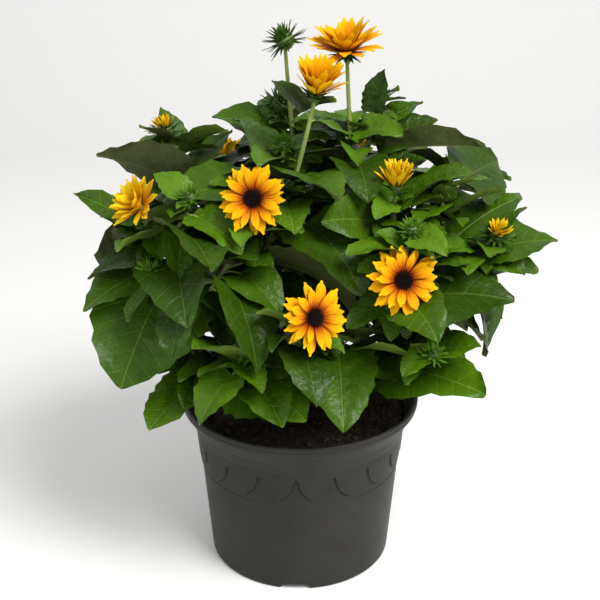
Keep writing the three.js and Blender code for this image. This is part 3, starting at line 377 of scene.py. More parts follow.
# From here on the tables are in millimetres. A stem is its foot and its tip, and a bough is what it grows on,
# the share of the way up at which it does, and its tip.
MM = 0.001
GROUND = 155
STEMS = {
    "stem_left": ((-57, -12), (-64, -22, 268)),
    "stem_right": ((52, 12), (62, -4, 272)),
    "stem_back": ((32, 62), (22, 66, 272)),
}
BOUGHS = {
    "bough_left_up": ("stem_left", 1, (-78, 0, 362)),
    "bough_centre": ("stem_left", 0.87, (-28, -40, 350)),
    "bough_left_front": ("stem_left", 0.75, (-80, -64, 315)),
    "bough_left_out": ("stem_left", 0.63, (-112, -32, 316)),
    "bough_front": ("stem_left", 0.5, (-12, -88, 262)),
    "bough_right_up": ("stem_right", 1, (52, -8, 375)),
    "bough_right_mid": ("stem_right", 0.86, (82, -42, 345)),
    "bough_right_front": ("stem_right", 0.73, (80, -82, 300)),
    "bough_right_out": ("stem_right", 0.6, (128, -30, 305)),
    "bough_back_up": ("stem_back", 1, (0, 40, 375)),
    "bough_back_left": ("stem_back", 0.86, (-50, 92, 320)),
    "bough_back_right": ("stem_back", 0.73, (92, 82, 315)),
    "bough_back_out": ("stem_back", 0.6, (15, 112, 300)),
}
STEM = {"foot": 5.8, "taper": 1.4, "flare": 2.4, "flare_height": 6, "sunk": 0.04, "buried": 4,
        "ribs": (6, 0.035, 3)}
COLLAR_PROUD, COLLAR_LENGTH = 1.1, 0.035
BOUGH = {"taper": (4, 0.7, 1.6, 7), "ribs": (5, 0.03, 4)}
LIMB_ROWS, LIMB_RING = 48, 16


def bend(root, tip, outward, upward):
    """A line from root to tip that leaves outwards and rises later, as a function of the share of its way.

    It is a quadratic curve, whose handle is the given shares, outward and upward, of the way to the tip.
    """
    root, tip = np.array(root, float), np.array(tip, float)
    shoulder = root + (tip - root) * (outward, outward, upward)

    def at(share):
        """The point at a share of the way, or an array of points at an array of shares."""
        s = np.asarray(share, float)[..., None]
        return (1 - s) ** 2 * root + 2 * s * (1 - s) * shoulder + s * s * tip
    return at


def limb_skin(points, radii, ring, aside=(0.31, 0.95, 0.05)):
    """Rings of points square to a centre line, radii away from it, with an end point at its foot and its tip.

    Each ring starts in the direction of the line's tangent crossed with aside.
    """
    tangent = np.gradient(points, axis=0)
    tangent /= np.linalg.norm(tangent, axis=1, keepdims=True)
    side = np.cross(tangent, aside)
    side /= np.linalg.norm(side, axis=1, keepdims=True)
    up = np.cross(tangent, side)
    angle = 2 * math.pi * np.arange(ring) / ring
    radii = np.broadcast_to(np.asarray(radii).reshape(len(points), -1), (len(points), ring))
    rings = np.cos(angle)[:, None] * side[:, None] + np.sin(angle)[:, None] * up[:, None]
    body = points[:, None] + radii[..., None] * rings
    cap = points[-1] + tangent[-1] * radii[-1, 0] * 0.7
    return np.concatenate([points[:1], body.reshape(-1, 3), [cap]]) * MM


def ribbed(radius, ring, count, depth, twist):
    """Radii of a limb's rings: radius times 1 plus depth times the cosine of count turns, twisted upwards."""
    angle = 2 * math.pi * np.arange(ring) / ring
    along = np.linspace(0, 1, len(radius))[:, None]
    return radius[:, None] * (1 + depth * np.cos(count * angle + twist * along))


def tapering(points, foot, taper, flare, flare_length):
    """Radii from foot that lose taper evenly along the points, and a flare that dies away by flare_length."""
    along = np.linalg.norm(points - points[0], axis=1)
    return foot - taper * np.linspace(0, 1, len(points)) + flare * np.exp(-along / flare_length)


lines = {}
for name, (foot, tip) in STEMS.items():
    lines[name] = bend((*foot, GROUND), tip, 0.5, 0.5)
for name, (on, at, tip) in BOUGHS.items():
    lines[name] = bend(lines[on](at), tip, 0.6, 0.3)

limb_skins = []
share = np.linspace(0, 1, LIMB_ROWS)
for name in STEMS:
    points = lines[name](share * (1 + STEM["sunk"]) - STEM["sunk"])
    height = np.linalg.norm(points - points[0], axis=1) - STEM["buried"]
    radius = STEM["foot"] - STEM["taper"] * share
    radius += STEM["flare"] * np.exp(-np.maximum(height, 0) / STEM["flare_height"])
    for on, at, _ in BOUGHS.values():
        if on == name:
            radius += COLLAR_PROUD * np.exp(-((share - at) / COLLAR_LENGTH) ** 2)
    limb_skins.append(limb_skin(points, ribbed(radius, LIMB_RING, *STEM["ribs"]), LIMB_RING))
for name in BOUGHS:
    points = lines[name](share)
    radii = ribbed(tapering(points, *BOUGH["taper"]), LIMB_RING, *BOUGH["ribs"])
    limb_skins.append(limb_skin(points, radii, LIMB_RING))
limbs, _ = skin_piece("stems_and_boughs", limb_skins, LIMB_ROWS, LIMB_RING)


def stalk_finish(name, pale, dark):
    """Green stalk skin: a colour between two that varies along it, and a fine lengthwise grain of hairs."""
    finish = Shader(name, Roughness=0.62)
    tint = finish.noise(45, finish.place((1, 1, 0.35)))
    finish.colour(finish.ramp(tint, (0.3, dark), (0.7, pale)))
    finish.bump(finish.noise(900, finish.place((1, 1, 0.15)), detail=2), 0.0003, 0.6)
    return finish.material


STALK_GREEN = stalk_finish("green_stalk", (0.36, 0.42, 0.13), (0.19, 0.26, 0.07))
limbs.data.materials.append(STALK_GREEN)
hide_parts(*[name for name in nodes if name.startswith(("stem", "bough"))])

# ---------------------------------------------------------------- twigs
# The youngest shoots: thin, juicy, pale green and a little hairy. Each one carries leaves in a slow spiral
# and ends in a flower, a bud or a tuft of young leaves. Some branch from a leaf joint low on another shoot.

# A twig is what it grows on and where, its tip, the bare length under its head, how many leaves it has, the
# largest one, the first one's bearing and tilt, its head, and the bearing and tilt that the head looks along.
TWIGS = {
    "top_bloom": ("bough_right_up", 1.0, (42, -8, 520), 60, 7, 90, 0, 8, "cup", (-110, 76)),
    "high_leaves": ("top_bloom", 0.25, (74, 12, 470), 0, 6, 76, 30, -10, "tip", (0, 80)),
    "tall_bloom": ("bough_centre", 1.0, (14, -62, 494), 98, 7, 98, 200, -10, "goblet", (-68, 70)),
    "centre_bud": ("tall_bloom", 0.15, (-15, -30, 440), 8, 6, 91, 60, -10, "young", (-90, 70)),
    "tall_bud": ("bough_back_up", 1.0, (-14, 20, 525), 108, 6, 86, 100, -10, "bud", (175, 62)),
    "half_hidden": ("tall_bud", 0.15, (-19, 52, 458), 12, 6, 91, 160, -10, "bud", (-20, 60)),
    "left_crest": ("bough_left_up", 1.0, (-128, 20, 440), 15, 6, 101, 180, -10, "opening", (180, 75)),
    "left_bloom": ("bough_left_out", 1.0, (-141, -72, 394), 22, 6, 96, 170, -10, "half", (-135, 40)),
    "left_bud": ("left_bloom", 0.4, (-95, -88, 408), 8, 6, 91, 150, -10, "young", (-120, 60)),
    "crown_bloom": ("bough_left_front", 1.0, (-40, -100, 410), 30, 6, 101, 240, -10, "bloom", (-100, 24)),
    "left_low_bud": ("crown_bloom", 0.12, (-133, -100, 342), 8, 5, 86, 200, -10, "young", (-130, 50)),
    "front_bloom": ("bough_front", 1.0, (11, -160, 325), 35, 5, 84, 150, 12, "bloom", (-58, 22)),
    "right_bloom": ("bough_right_front", 1.0, (87, -138, 350), 35, 6, 84, 20, 12, "bloom", (-85, 22)),
    "front_bud": ("right_bloom", 0.2, (95, -118, 388), 8, 5, 81, 130, 14, "young", (-80, 70)),
    "young_bloom": ("bough_right_mid", 1.0, (84, -78, 415), 20, 6, 91, -20, -10, "vase", (-75, 80)),
    "right_crest": ("bough_right_out", 1.0, (178, -60, 363), 12, 7, 96, 0, -10, "opening", (-60, 60)),
    "right_bud": ("right_crest", 0.15, (128, -50, 408), 8, 6, 91, 30, -10, "young", (-60, 60)),
    "low_right": ("stem_right", 0.33, (118, -120, 272), 12, 6, 96, -30, -10, "young", (-60, 60)),
    "low_front_left": ("stem_left", 0.36, (-53, -132, 268), 4, 7, 96, -100, 8, "tip", (-100, 60)),
    "low_front": ("stem_right", 0.2, (32, -96, 284), 4, 5, 86, -95, -10, "tip", (-100, 60)),
    "low_left": ("stem_left", 0.22, (-118, -62, 275), 4, 6, 106, 200, -10, "tip", (-150, 40)),
    "back_crest": ("bough_back_right", 1.0, (150, 60, 395), 10, 8, 101, 10, -10, "young", (30, 70)),
    "back_high": ("back_crest", 0.2, (85, 55, 425), 10, 6, 96, 80, -10, "tip", (30, 80)),
    "back_bloom": ("bough_back_out", 1.0, (48, 165, 390), 35, 7, 101, 90, -10, "bloom", (80, 40)),
    "back_left_bloom": ("bough_back_left", 1.0, (-80, 145, 380), 35, 7, 101, 120, -10, "bloom", (118, 45)),
    "back_left_crest": ("back_left_bloom", 0.15, (-140, 80, 372), 8, 7, 96, 160, -10, "bud", (150, 60)),
    "low_back": ("stem_back", 0.3, (40, 140, 268), 4, 7, 101, 80, -10, "tip", (90, 60)),
    "low_back_left": ("stem_back", 0.45, (-80, 115, 272), 4, 7, 101, 130, -10, "tip", (130, 50)),
    "low_back_right": ("stem_right", 0.46, (130, 72, 278), 4, 7, 101, 40, -10, "tip", (40, 50)),
}
TWIG = {"taper": (2.9, 1.25, 1.0, 5), "ribs": (3, 0.05, 5)}
TWIG_ROWS, TWIG_RING = 26, 10

for name, (on, at, tip, *_) in TWIGS.items():
    lines[name] = bend(lines[on](at), tip, 0.55, 0.35)

twig_skins = []
for name in TWIGS:
    points = lines[name](np.linspace(0, 1, TWIG_ROWS))
    radii = ribbed(tapering(points, *TWIG["taper"]), TWIG_RING, *TWIG["ribs"])
    twig_skins.append(limb_skin(points, radii, TWIG_RING))
twigs, _ = skin_piece("twigs", twig_skins, TWIG_ROWS, TWIG_RING)
twigs.data.materials.append(stalk_finish("young_stalk", (0.30, 0.37, 0.11), (0.14, 0.20, 0.04)))
foliage = [name for name in nodes if name.startswith("foliage")]
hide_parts(*foliage)

# ---------------------------------------------------------------- how the leaves grow
# Leaves follow each other up a shoot at the golden angle, large and hanging at its foot, small and upright at
# its top. Each one turns, tilts and shrinks a little until its blade has room in the crown.

# The leaves that make the outline: twig and place on it, tip, size, droop, roll, fold, width, and youth and
# light, which sets the leaf's green both for its age and as painted light or shade, brighter or darker for
# how lit it looks.
REACHING_LEAVES = [
    ("left_crest", 0.25, (-193, 10, 420), 100, 25, -48, 10, 0.85),
    ("left_crest", 0.75, (-133, 35, 460), 52, 10, 0, 14, 0.78),
    ("left_crest", 0.85, (-147, -15, 453), 42, 20, 0, 14, 0.78),
    ("left_crest", 0.5, (-65, 40, 436), 62, 25, 0, 14, 0.78),
    ("left_bloom", 0.5, (-211, -20, 391), 88, 20, 30, 20, 0.4, 0),
    ("left_bloom", 0.3, (-169, -60, 354), 60, 40, 0, 14, 0.78),
    ("left_bloom", 0.35, (-194, -70, 325), 80, 25, 0, 14, 0.78),
    ("left_bloom", 0.2, (-197, -85, 299), 92, 30, 12, 10, 0.85),
    ("left_bloom", 0.12, (-163, -110, 233), 130, 20, 24, 8, 1.1, 0.15),
    ("low_left", 0.2, (-138, -120, 196), 66, 30, 0, 10, 0.9, 0.7),
    ("low_front_left", 0.9, (-88, -158, 222), 82, 40, 0, 14, 0.88, 0.5),
    ("low_front_left", 0.75, (3, -134, 262), 84, 30, -20, 12, 0.85, 0.5),
    ("low_front_left", 0.45, (6, -146, 220), 96, 25, -30, 10, 1.0, 0.4),
    ("low_front", 0.85, (38, -164, 218), 105, 30, 0, 12, 0.85, 0.5),
    ("low_front", 0.3, (94, -64, 216), 58, 20, -10, 10, 1.05, 1.0),
    ("low_front", 0.5, (98, -118, 242), 66, 30, 0, 14, 0.95, 1.1),
    ("low_right", 0.35, (168, -120, 232), 100, 22, -25, 10, 0.8, 1),
    ("low_right", 0.7, (161, -118, 280), 82, 25, -15, 10, 0.8, 0.9),
    ("right_bloom", 0.35, (116, -150, 310), 95, 40, 0, 12, 0.95),
    ("right_bloom", 0.25, (190, -105, 317), 95, 30, -22, 10, 0.95),
    ("right_crest", 0.6, (237, -50, 355), 88, 25, -18, 10, 0.85),
    ("right_crest", 0.3, (223, -45, 323), 84, 30, -10, 10, 0.85),
    ("right_crest", 0.85, (206, -50, 387), 52, 20, 0, 14, 0.78),
    ("right_bud", 0.35, (212, 5, 380), 98, 25, -8, 10, 0.8),
    ("right_bud", 0.75, (196, 55, 401), 80, 12, -45, 10, 0.85),
    ("back_crest", 0.9, (154, 70, 402), 50, 15, 0, 14, 0.78),
    ("high_leaves", 0.2, (170, -22, 436), 90, 20, 30, 26, 0.6, 0),
    ("high_leaves", 0.4, (128, 2, 455), 60, 8, -40, 12, 0.75, 0),
    ("high_leaves", 0.6, (115, 15, 469), 66, 20, -10, 14, 0.78, 0.1),
    ("high_leaves", 0.8, (78, 10, 501), 60, 10, -30, 10, 0.8, 0),
    ("high_leaves", 0.5, (103, 20, 437), 50, 30, 0, 14, 0.78),
    ("young_bloom", 0.4, (18, -110, 393), 75, 20, 60, 14, 0.78),
    ("tall_bloom", 0.87, (-25, -36, 499), 44, 20, 0, 12, 0.8, 0),
    ("tall_bloom", 0.85, (44, -52, 466), 40, 30, 0, 12, 0.8, 0.2),
    ("half_hidden", 0.5, (-84, 30, 452), 95, 25, 25, 10, 0.85),
    ("crown_bloom", 0.3, (-23, -120, 355), 92, 30, 0, 14, 0.78),
]
CROWN_AXIS = np.array([8, 0])
CROWN_HEIGHTS = [160, 185, 210, 240, 270, 300, 350, 385, 410, 430, 450, 470, 490, 510, 540]
CROWN_REACH = [120, 140, 160, 180, 200, 212, 215, 208, 195, 170, 135, 100, 75, 55, 30]
WALL_INSIDE, WALL_OUTSIDE, WALL_TOP = 96, 127, 184
SOIL_RADIUS, SOIL_TOP = 100, 163
RIM_CLEAR, RIM_CLEAR_HEIGHT = 150, 204
LIMB_ROOM, TWIG_ROOM, OWN_ROOM, NET_ROOM = 7, 5, 3, 3
LIMB_SPOTS, TWIG_SPOTS, CHAIN_SPOTS = 16, 12, 9
# The radius to keep free about each head, and how far ahead of its twig's end that is measured from.
HEAD_ROOM = {
    "bloom": (26, 8), "cup": (26, 8), "goblet": (26, 8), "half": (22, 10), "vase": (16, 10),
    "opening": (13, 8), "bud": (13, 5), "young": (9, 5), "tip": (6, 5)}
LEAF = {
    "turn": 137.5, "outward": 0.45, "first": 0.18, "last": 0.3, "shrinking": (0.55, 1.4), "top_tilt": 24,
    "droop": (54, 34), "fold": 16, "width": 0.82}
SCATTER = {"size": 0.12, "tilt": 14, "droop": 12, "bearing": 8, "roll": 30, "fold": 7, "width": 0.06}
STALK = {"foot": 0.44, "top": 0.22, "steeper": 35, "steepest": 80, "least": 0.15, "rising": 22}
BEND_LENGTH = 1.03
TRIES, TRY_TILTS, TRY_TURN, TRY_SHRINK = 24, (0, 16, -16, 30, -30), 4.5, 0.016


def wobble(i, j, k):
    """A repeatable number from -1 to 1 for the leaf or ray counted by i, j and k: a scrambled sine."""
    x = math.sin(i * 12.9898 + j * 78.233 + k * 37.719 + 1.7) * 43758.5453
    return 2 * (x - math.floor(x)) - 1


def way(bearing, tilt):
    """The unit direction at a bearing about Z and a tilt above the floor, both in degrees."""
    bearing, tilt = math.radians(bearing), math.radians(tilt)
    return np.array([math.cos(bearing) * math.cos(tilt), math.sin(bearing) * math.cos(tilt), math.sin(tilt)])


def leaf_outline(t, roundness=0.8):
    """How far along its rib and how far out a leaf's edge is, as shares, for t from 0 at its stalk to 1.

    The edge falls back beside the stalk by 0.45 of a half wave that fades out towards the tip. Its width is a
    half wave skewed towards the foot, to the power of roundness, and a quarter narrower at the tip.
    """
    t = np.asarray(t, float)
    back = 0.45 * np.sin(math.pi * t) * (1 - t) ** 1.5
    return t - back, np.sin(math.pi * t ** 0.74).clip(0) ** roundness * (1 - 0.25 * t ** 3)


def leaf_points(leaf, x, y, lift=0.0):
    """Points of a leaf, with x along its rib from 0 to 1 and y across it from -1 to 1, lifted off its face.

    The rib is a circular arc that turns down by the leaf's droop. Both halves fold up from it by the leaf's
    fold and flatten towards the edge, and the whole blade is rolled about the rib.
    """
    x, y = np.broadcast_arrays(np.asarray(x, float), np.asarray(y, float))
    tilt, droop, roll, fold = (math.radians(leaf[key]) for key in ("tilt", "droop", "roll", "fold"))
    slope = (tilt - droop * x)[..., None]
    ahead, beside = way(leaf["bearing"], 0), way(leaf["bearing"] - 90, 0)
    up = np.array([0, 0, 1.0])
    rib = leaf["base"] + leaf["size"] / droop * (
        (math.sin(tilt) - np.sin(slope)) * ahead + (np.cos(slope) - math.cos(tilt)) * up)
    above = -np.sin(slope) * ahead + np.cos(slope) * up
    side = beside * math.cos(roll) + above * math.sin(roll)
    face = above * math.cos(roll) - beside * math.sin(roll)
    half = leaf["size"] * leaf["width"] / 2
    across = y * half
    raised = math.sin(fold) * (np.abs(across) - 0.25 * across * across / half) + lift
    return rib + side * (across * math.cos(fold))[..., None] + face * np.asarray(raised)[..., None]


# Where a leaf is felt for room, as shares along and across it, and the coarse net that stands for its blade.
FEELERS = np.array([
    (0.15, 0), (0.4, 0), (0.65, 0), (0.9, 0), (0.12, 0.6), (0.4, 0.62), (0.68, 0.4),
    (0.12, -0.6), (0.4, -0.62), (0.68, -0.4)]).T
(EDGE_LOW, EDGE_HIGH), (WIDE_LOW, WIDE_HIGH) = leaf_outline([0.22, 0.62])
NET = np.array([
    (0, 0), (1, 0), (EDGE_LOW, WIDE_LOW), (EDGE_HIGH, WIDE_HIGH), (EDGE_LOW, -WIDE_LOW),
    (EDGE_HIGH, -WIDE_HIGH), (0.3, 0), (0.66, 0)]).T
NET_FACES = np.array([(0, 2, 6), (2, 3, 6), (3, 7, 6), (3, 1, 7), (0, 6, 4), (4, 6, 5), (5, 6, 7), (5, 7, 1)])
NET_EDGES = np.array([
    (0, 2), (2, 3), (3, 1), (0, 4), (4, 5), (5, 1), (0, 6), (6, 7), (7, 1), (2, 6), (3, 7), (4, 6), (5, 7),
    (8, 9), (9, 0)])


def elbow(leaf):
    """Where a leaf's stalk bends: half its length from the root, in the direction in which it rises."""
    reach = np.linalg.norm(leaf["base"] - leaf["root"]) / 2
    return leaf["root"] + way(leaf["bearing"], leaf["rise"]) * reach


def pierced(edges, faces):
    """Whether any edge of (n, 2, 3) goes through any face of (m, 3, 3), both as corners.

    Each pair is solved for the share t along the edge and the shares u and v of the face's first two sides.
    """
    start, step = edges[:, None, 0], (edges[:, 1] - edges[:, 0])[:, None]
    corner = faces[None, :, 0]
    first, second = (faces[:, 1] - faces[:, 0])[None], (faces[:, 2] - faces[:, 0])[None]
    normal = np.cross(step, second)
    depth = (first * normal).sum(-1)
    facing = np.abs(depth) > 1e-9
    scale = 1 / np.where(facing, depth, 1)
    away = start - corner
    u = (away * normal).sum(-1) * scale
    turned = np.cross(away, first)
    v = (step * turned).sum(-1) * scale
    t = (second * turned).sum(-1) * scale
    return bool((facing & (u >= 0) & (v >= 0) & (u + v <= 1) & (t >= 0) & (t <= 1)).any())


class Crown:
    """Everything that a new leaf keeps clear of, and the leaves already grown."""

    def __init__(self):
        self.leaves = []
        self.feelers = np.zeros((0, 3))
        self.nets = np.zeros((0, 10, 3))
        spots, radii, owners = [], [], []
        for name, line in lines.items():
            count, radius = (TWIG_SPOTS, TWIG_ROOM) if name in TWIGS else (LIMB_SPOTS, LIMB_ROOM)
            spots.append(line(np.linspace(0.05, 1, count)))
            radii += [radius] * count
            owners += [name] * count
        for name, (*_, head, face) in TWIGS.items():
            clear, shift = HEAD_ROOM[head]
            spots.append((lines[name](1) + way(*face) * shift)[None])
            radii.append(clear)
            owners.append("head")
        self.spots, self.radii, self.owners = np.concatenate(spots), np.array(radii), np.array(owners)
        chains = np.stack([line(np.linspace(0, 1, CHAIN_SPOTS)) for line in lines.values()])
        self.limbs = np.stack([chains[:, :-1], chains[:, 1:]], 2).reshape(-1, 2, 3)

    def fits(self, leaf, room):
        """Whether a leaf is inside the crown, clear of pot, limbs and heads, and by room of other leaves."""
        feelers = leaf_points(leaf, *FEELERS)
        reach = np.interp(feelers[:, 2], CROWN_HEIGHTS, CROWN_REACH)
        if (np.linalg.norm(feelers[:, :2] - CROWN_AXIS, axis=1) > reach).any():
            return False
        radius, height = np.hypot(feelers[:, 0], feelers[:, 1]), feelers[:, 2]
        in_wall = (radius < WALL_OUTSIDE) & (radius > WALL_INSIDE) & (height < WALL_TOP)
        in_soil = (radius < SOIL_RADIUS) & (height < SOIL_TOP)
        over_rim = (radius < RIM_CLEAR) & (height < RIM_CLEAR_HEIGHT)
        if (in_wall | in_soil | over_rim).any():
            return False
        gaps = np.linalg.norm(feelers[:, None] - self.spots, axis=2) - self.radii
        own = self.owners == leaf["twig"]
        if (gaps[:, ~own] <= 0).any() or (gaps[2:, own] + OWN_ROOM <= 0).any():
            return False
        if len(self.feelers) and np.linalg.norm(feelers[:, None] - self.feelers, axis=2).min() <= room:
            return False
        return not self.cut(leaf)

    def cut(self, leaf):
        """Whether a leaf's net of faces meets a limb's centre line or the net of another leaf."""
        net = net_of(leaf)
        low, high = net.min(0) - NET_ROOM, net.max(0) + NET_ROOM
        near = ((self.limbs.min(1) < high) & (self.limbs.max(1) > low)).all(1)
        if pierced(self.limbs[near], net[NET_FACES]):
            return True
        near = ((self.nets.min(1) < high) & (self.nets.max(1) > low)).all(1)
        others = self.nets[near]
        return pierced(net[NET_EDGES], others[:, NET_FACES].reshape(-1, 3, 3)) or pierced(
            others[:, NET_EDGES].reshape(-1, 2, 3), net[NET_FACES])

    def add(self, leaf):
        """Keep a leaf, and keep clear of it from now on."""
        self.leaves.append(leaf)
        self.feelers = np.concatenate([self.feelers, leaf_points(leaf, *FEELERS)])
        self.nets = np.concatenate([self.nets, net_of(leaf)[None]])


def net_of(leaf):
    """A leaf as ten points: foot, tip, two on each side, two on its rib, and its stalk's root and elbow."""
    return np.concatenate([leaf_points(leaf, *NET), [leaf["root"], elbow(leaf)]])


def leaf_to(twig, at, tip, size, droop, roll, fold, width, youth_and_light=0.3):
    """A leaf held out to a given tip: its stalk takes what the blade doesn't, and the blade ends there."""
    root = lines[twig](at)
    span = np.linalg.norm(tip - root)
    stalk = max(STALK["least"] * span, span - size)
    rise = math.degrees(math.asin((tip - root)[2] / span)) + STALK["rising"]
    base = root + way(math.degrees(math.atan2(*(tip - root)[1::-1])), rise) * stalk
    chord = tip - base
    length = np.linalg.norm(chord)
    half = math.radians(droop) / 2
    tilt = math.degrees(math.asin(chord[2] / length)) + droop / 2
    return {
        "twig": twig, "root": root, "base": base, "bearing": math.degrees(math.atan2(chord[1], chord[0])),
        "tilt": tilt, "droop": droop, "size": length * half / math.sin(half), "roll": roll, "fold": fold,
        "width": width, "rise": min(STALK["steepest"], tilt + STALK["steeper"]), "youth_and_light": youth_and_light,
        "number": len(crown.leaves)}


def grow(twig, number, count, largest, turn, spread, room, stalk=0, lift=-10):
    """Leaves of one twig or bough, in turn up its length, each with the first tilt and bearing that has room.

    A leaf's size falls from the largest to 0.45 of it, its tilt rises and its droop eases from foot to top.
    At each try it tilts another way, turns further to alternate sides and is a little smaller.
    """
    line = lines[twig]
    bare = LEAF["first"]
    top = max(LEAF["last"], 1 - stalk / (np.linalg.norm(line(1) - line(0)) * BEND_LENGTH))
    first, last = (bare + (top - bare) * share for share in spread)
    for k in range(count):
        q = k / max(1, count - 1)
        by = {key: most * wobble(number, k, trait) for trait, (key, most) in enumerate(SCATTER.items(), 1)}
        root = line(first + (last - first) * q)
        outward = root[:2] - CROWN_AXIS
        outward = outward / max(1, np.linalg.norm(outward))
        heading = way(turn + k * LEAF["turn"], 0)[:2] + LEAF["outward"] * outward
        bearing = math.degrees(math.atan2(heading[1], heading[0])) + by["bearing"]
        tilt = lift * (1 - q) + LEAF["top_tilt"] * q + by["tilt"]
        lost, power = LEAF["shrinking"]
        size = largest * (1 - lost * q ** power) * (1 + by["size"])
        droop = LEAF["droop"][0] * (1 - q) + LEAF["droop"][1] * q + by["droop"]
        for t in range(TRIES):
            leaf = {
                "twig": twig, "root": root, "size": size * (1 - TRY_SHRINK * t), "droop": droop,
                "bearing": bearing + (-1) ** t * TRY_TURN * t, "tilt": tilt + TRY_TILTS[t % len(TRY_TILTS)],
                "roll": by["roll"], "fold": LEAF["fold"] + by["fold"], "width": LEAF["width"] + by["width"],
                "youth_and_light": q, "number": len(crown.leaves)}
            leaf["rise"] = min(STALK["steepest"], leaf["tilt"] + STALK["steeper"])
            reach = (STALK["foot"] - STALK["top"] * q) * leaf["size"] / 2
            lower, upper = (reach * way(leaf["bearing"], leaf[key]) for key in ("rise", "tilt"))
            leaf["base"] = root + lower + upper
            if crown.fits(leaf, room):
                crown.add(leaf)
                break


def twigs_from(number):
    """Each twig's name, its number, and what grow takes of its row: leaves, largest, turn, stalk and lift."""
    for name, (_, _, _, stalk, count, size, turn, lift, _, _) in TWIGS.items():
        yield name, number, count, size, turn, stalk, lift
        number += 1


crown = Crown()
for row in REACHING_LEAVES:
    crown.add(leaf_to(*row))
for twig, number, count, size, turn, stalk, lift in twigs_from(0):
    grow(twig, number, count, size, turn, (0, 1), 5, stalk, lift)
# Later growth fills the gaps: leaves on the boughs, then smaller ones between the first ones on every twig.
first_growth = len(crown.leaves)
for number, bough in enumerate(BOUGHS, 120):
    grow(bough, number, 5, 80, 70 * number, (0.2, 1), 3)
for twig, number, count, size, turn, stalk, lift in twigs_from(40):
    grow(twig, number, count + 2, size * 0.66, turn + 68, (0.1, 0.95), 3, stalk, lift)
for twig, number, count, size, turn, stalk, lift in twigs_from(80):
    grow(twig, number, 4, size * 0.42, turn + 30, (0.35, 1), 2, stalk, lift)

# ---------------------------------------------------------------- leaf stalks
# Each leaf hangs on its own soft green stalk, up to three millimetres thick, which rises from the shoot,
# bends over to the blade and is swollen where it joins the shoot.

STALK_ROWS, STALK_RING = 8, 6
STALK_RADIUS, STALK_PER_LENGTH, STALK_TAPER, STALK_SWELL, SWELL_FADE = 0.9, 0.006, 0.3, 0.5, 9
share = np.linspace(0, 1, STALK_ROWS)
stalk_skins = []
for leaf in crown.leaves:
    bent, s = elbow(leaf), share[:, None]
    points = (1 - s) ** 2 * leaf["root"] + 2 * s * (1 - s) * bent + s * s * leaf["base"]
    radius = STALK_RADIUS + STALK_PER_LENGTH * leaf["size"]
    radius = radius * (1 - STALK_TAPER * share + STALK_SWELL * np.exp(-share * SWELL_FADE))
    stalk_skins.append(limb_skin(points, radius, STALK_RING, way(leaf["bearing"] - 90, 0)))
stalks, _ = skin_piece("leaf_stalks", stalk_skins, STALK_ROWS, STALK_RING)
stalks.data.materials.append(stalk_finish("leaf_stalk", (0.33, 0.43, 0.13), (0.17, 0.28, 0.06)))
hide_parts(*foliage)

# ---------------------------------------------------------------- leaves
# Sunflower leaves: broad and heart-shaped, drawn out to a point, toothed along the edge and puckered between
# the veins. They are glossy and dark green above, dull and greyish below, and brighter while they are young.
# Some are also painted brighter or darker for how lit or shaded they look: painted light and shade.

LEAF_TOP = np.linspace(-1, 1, 7)
LEAF_UNDER = LEAF_TOP[-2:0:-1]
TOP_COLUMNS = len(LEAF_TOP) - 1
VEIN_PAIRS, VEIN_SLANT = 6, 0.7
FIRST_ROW, ROWS_LONG, ROWS_POWER = 0.03, 0.955, 0.95
TOOTH, ROUNDNESS = 0.045, 0.7
PUCKER, RIB_SUNK, WAVE, EDGE_THICK, RIB_THICK = 0.024, 0.012, 0.040, 0.006, 0.006
LEAF_CREASE = 70


def leaf_skin(leaf, rows):
    """A leaf's points and their flat places: along its rib, and out to each side, as shares of its length.

    Rows run from the rib to the edge, which is drawn in and out in turn as teeth. The blade is lifted between
    its forward-running veins by a squared sine, waves along its edge, and is thickest at the rib.
    """
    t = FIRST_ROW + ROWS_LONG * np.linspace(0, 1, rows) ** ROWS_POWER
    edge_along, edge_across = leaf_outline(t, ROUNDNESS)
    tooth = 1 + TOOTH * np.where(np.arange(rows) % 2, 1, -1)
    y = np.concatenate([LEAF_TOP, LEAF_UNDER])
    above = np.concatenate([1 - LEAF_TOP ** 2, -(1 - LEAF_UNDER ** 2)])
    x = t[:, None] + np.abs(y) * (edge_along - t)[:, None]
    across = y * (edge_across * tooth)[:, None]
    out = np.abs(across) * leaf["width"] / 2
    pucker = PUCKER * np.sin(math.pi * VEIN_PAIRS * (x - VEIN_SLANT * out)) ** 2 * np.minimum(out * 12, 1)
    phase = 3.2 * t[:, None] + wobble(leaf["number"], 5, 1) + np.sign(y) * 0.4
    wave = WAVE * np.sin(math.pi * phase) * np.abs(y) ** 2.5
    thick = (EDGE_THICK + RIB_THICK * (1 - np.abs(y)) ** 3) * above
    lift = (pucker - RIB_SUNK * (y == 0) + wave + thick) * leaf["size"]
    body = leaf_points(leaf, x, across, lift).reshape(-1, 3)
    ends = leaf_points(leaf, [0, 1], [0, 0])
    flat = np.stack([x, across * leaf["width"] / 2], -1).reshape(-1, 2)
    return np.concatenate([ends[:1], body, ends[1:]]) * MM, np.concatenate([[(0, 0)], flat, [(1, 0)]])


def of_skins(values, rows, ring, split=1):
    """A whole number given for each skin, for all its faces, in the order in which skin_piece makes them."""
    values = np.asarray(values).astype(np.int32)
    return np.concatenate([np.repeat(values, (rows - 1) * ring)] * split + [np.repeat(values, 2 * ring)])


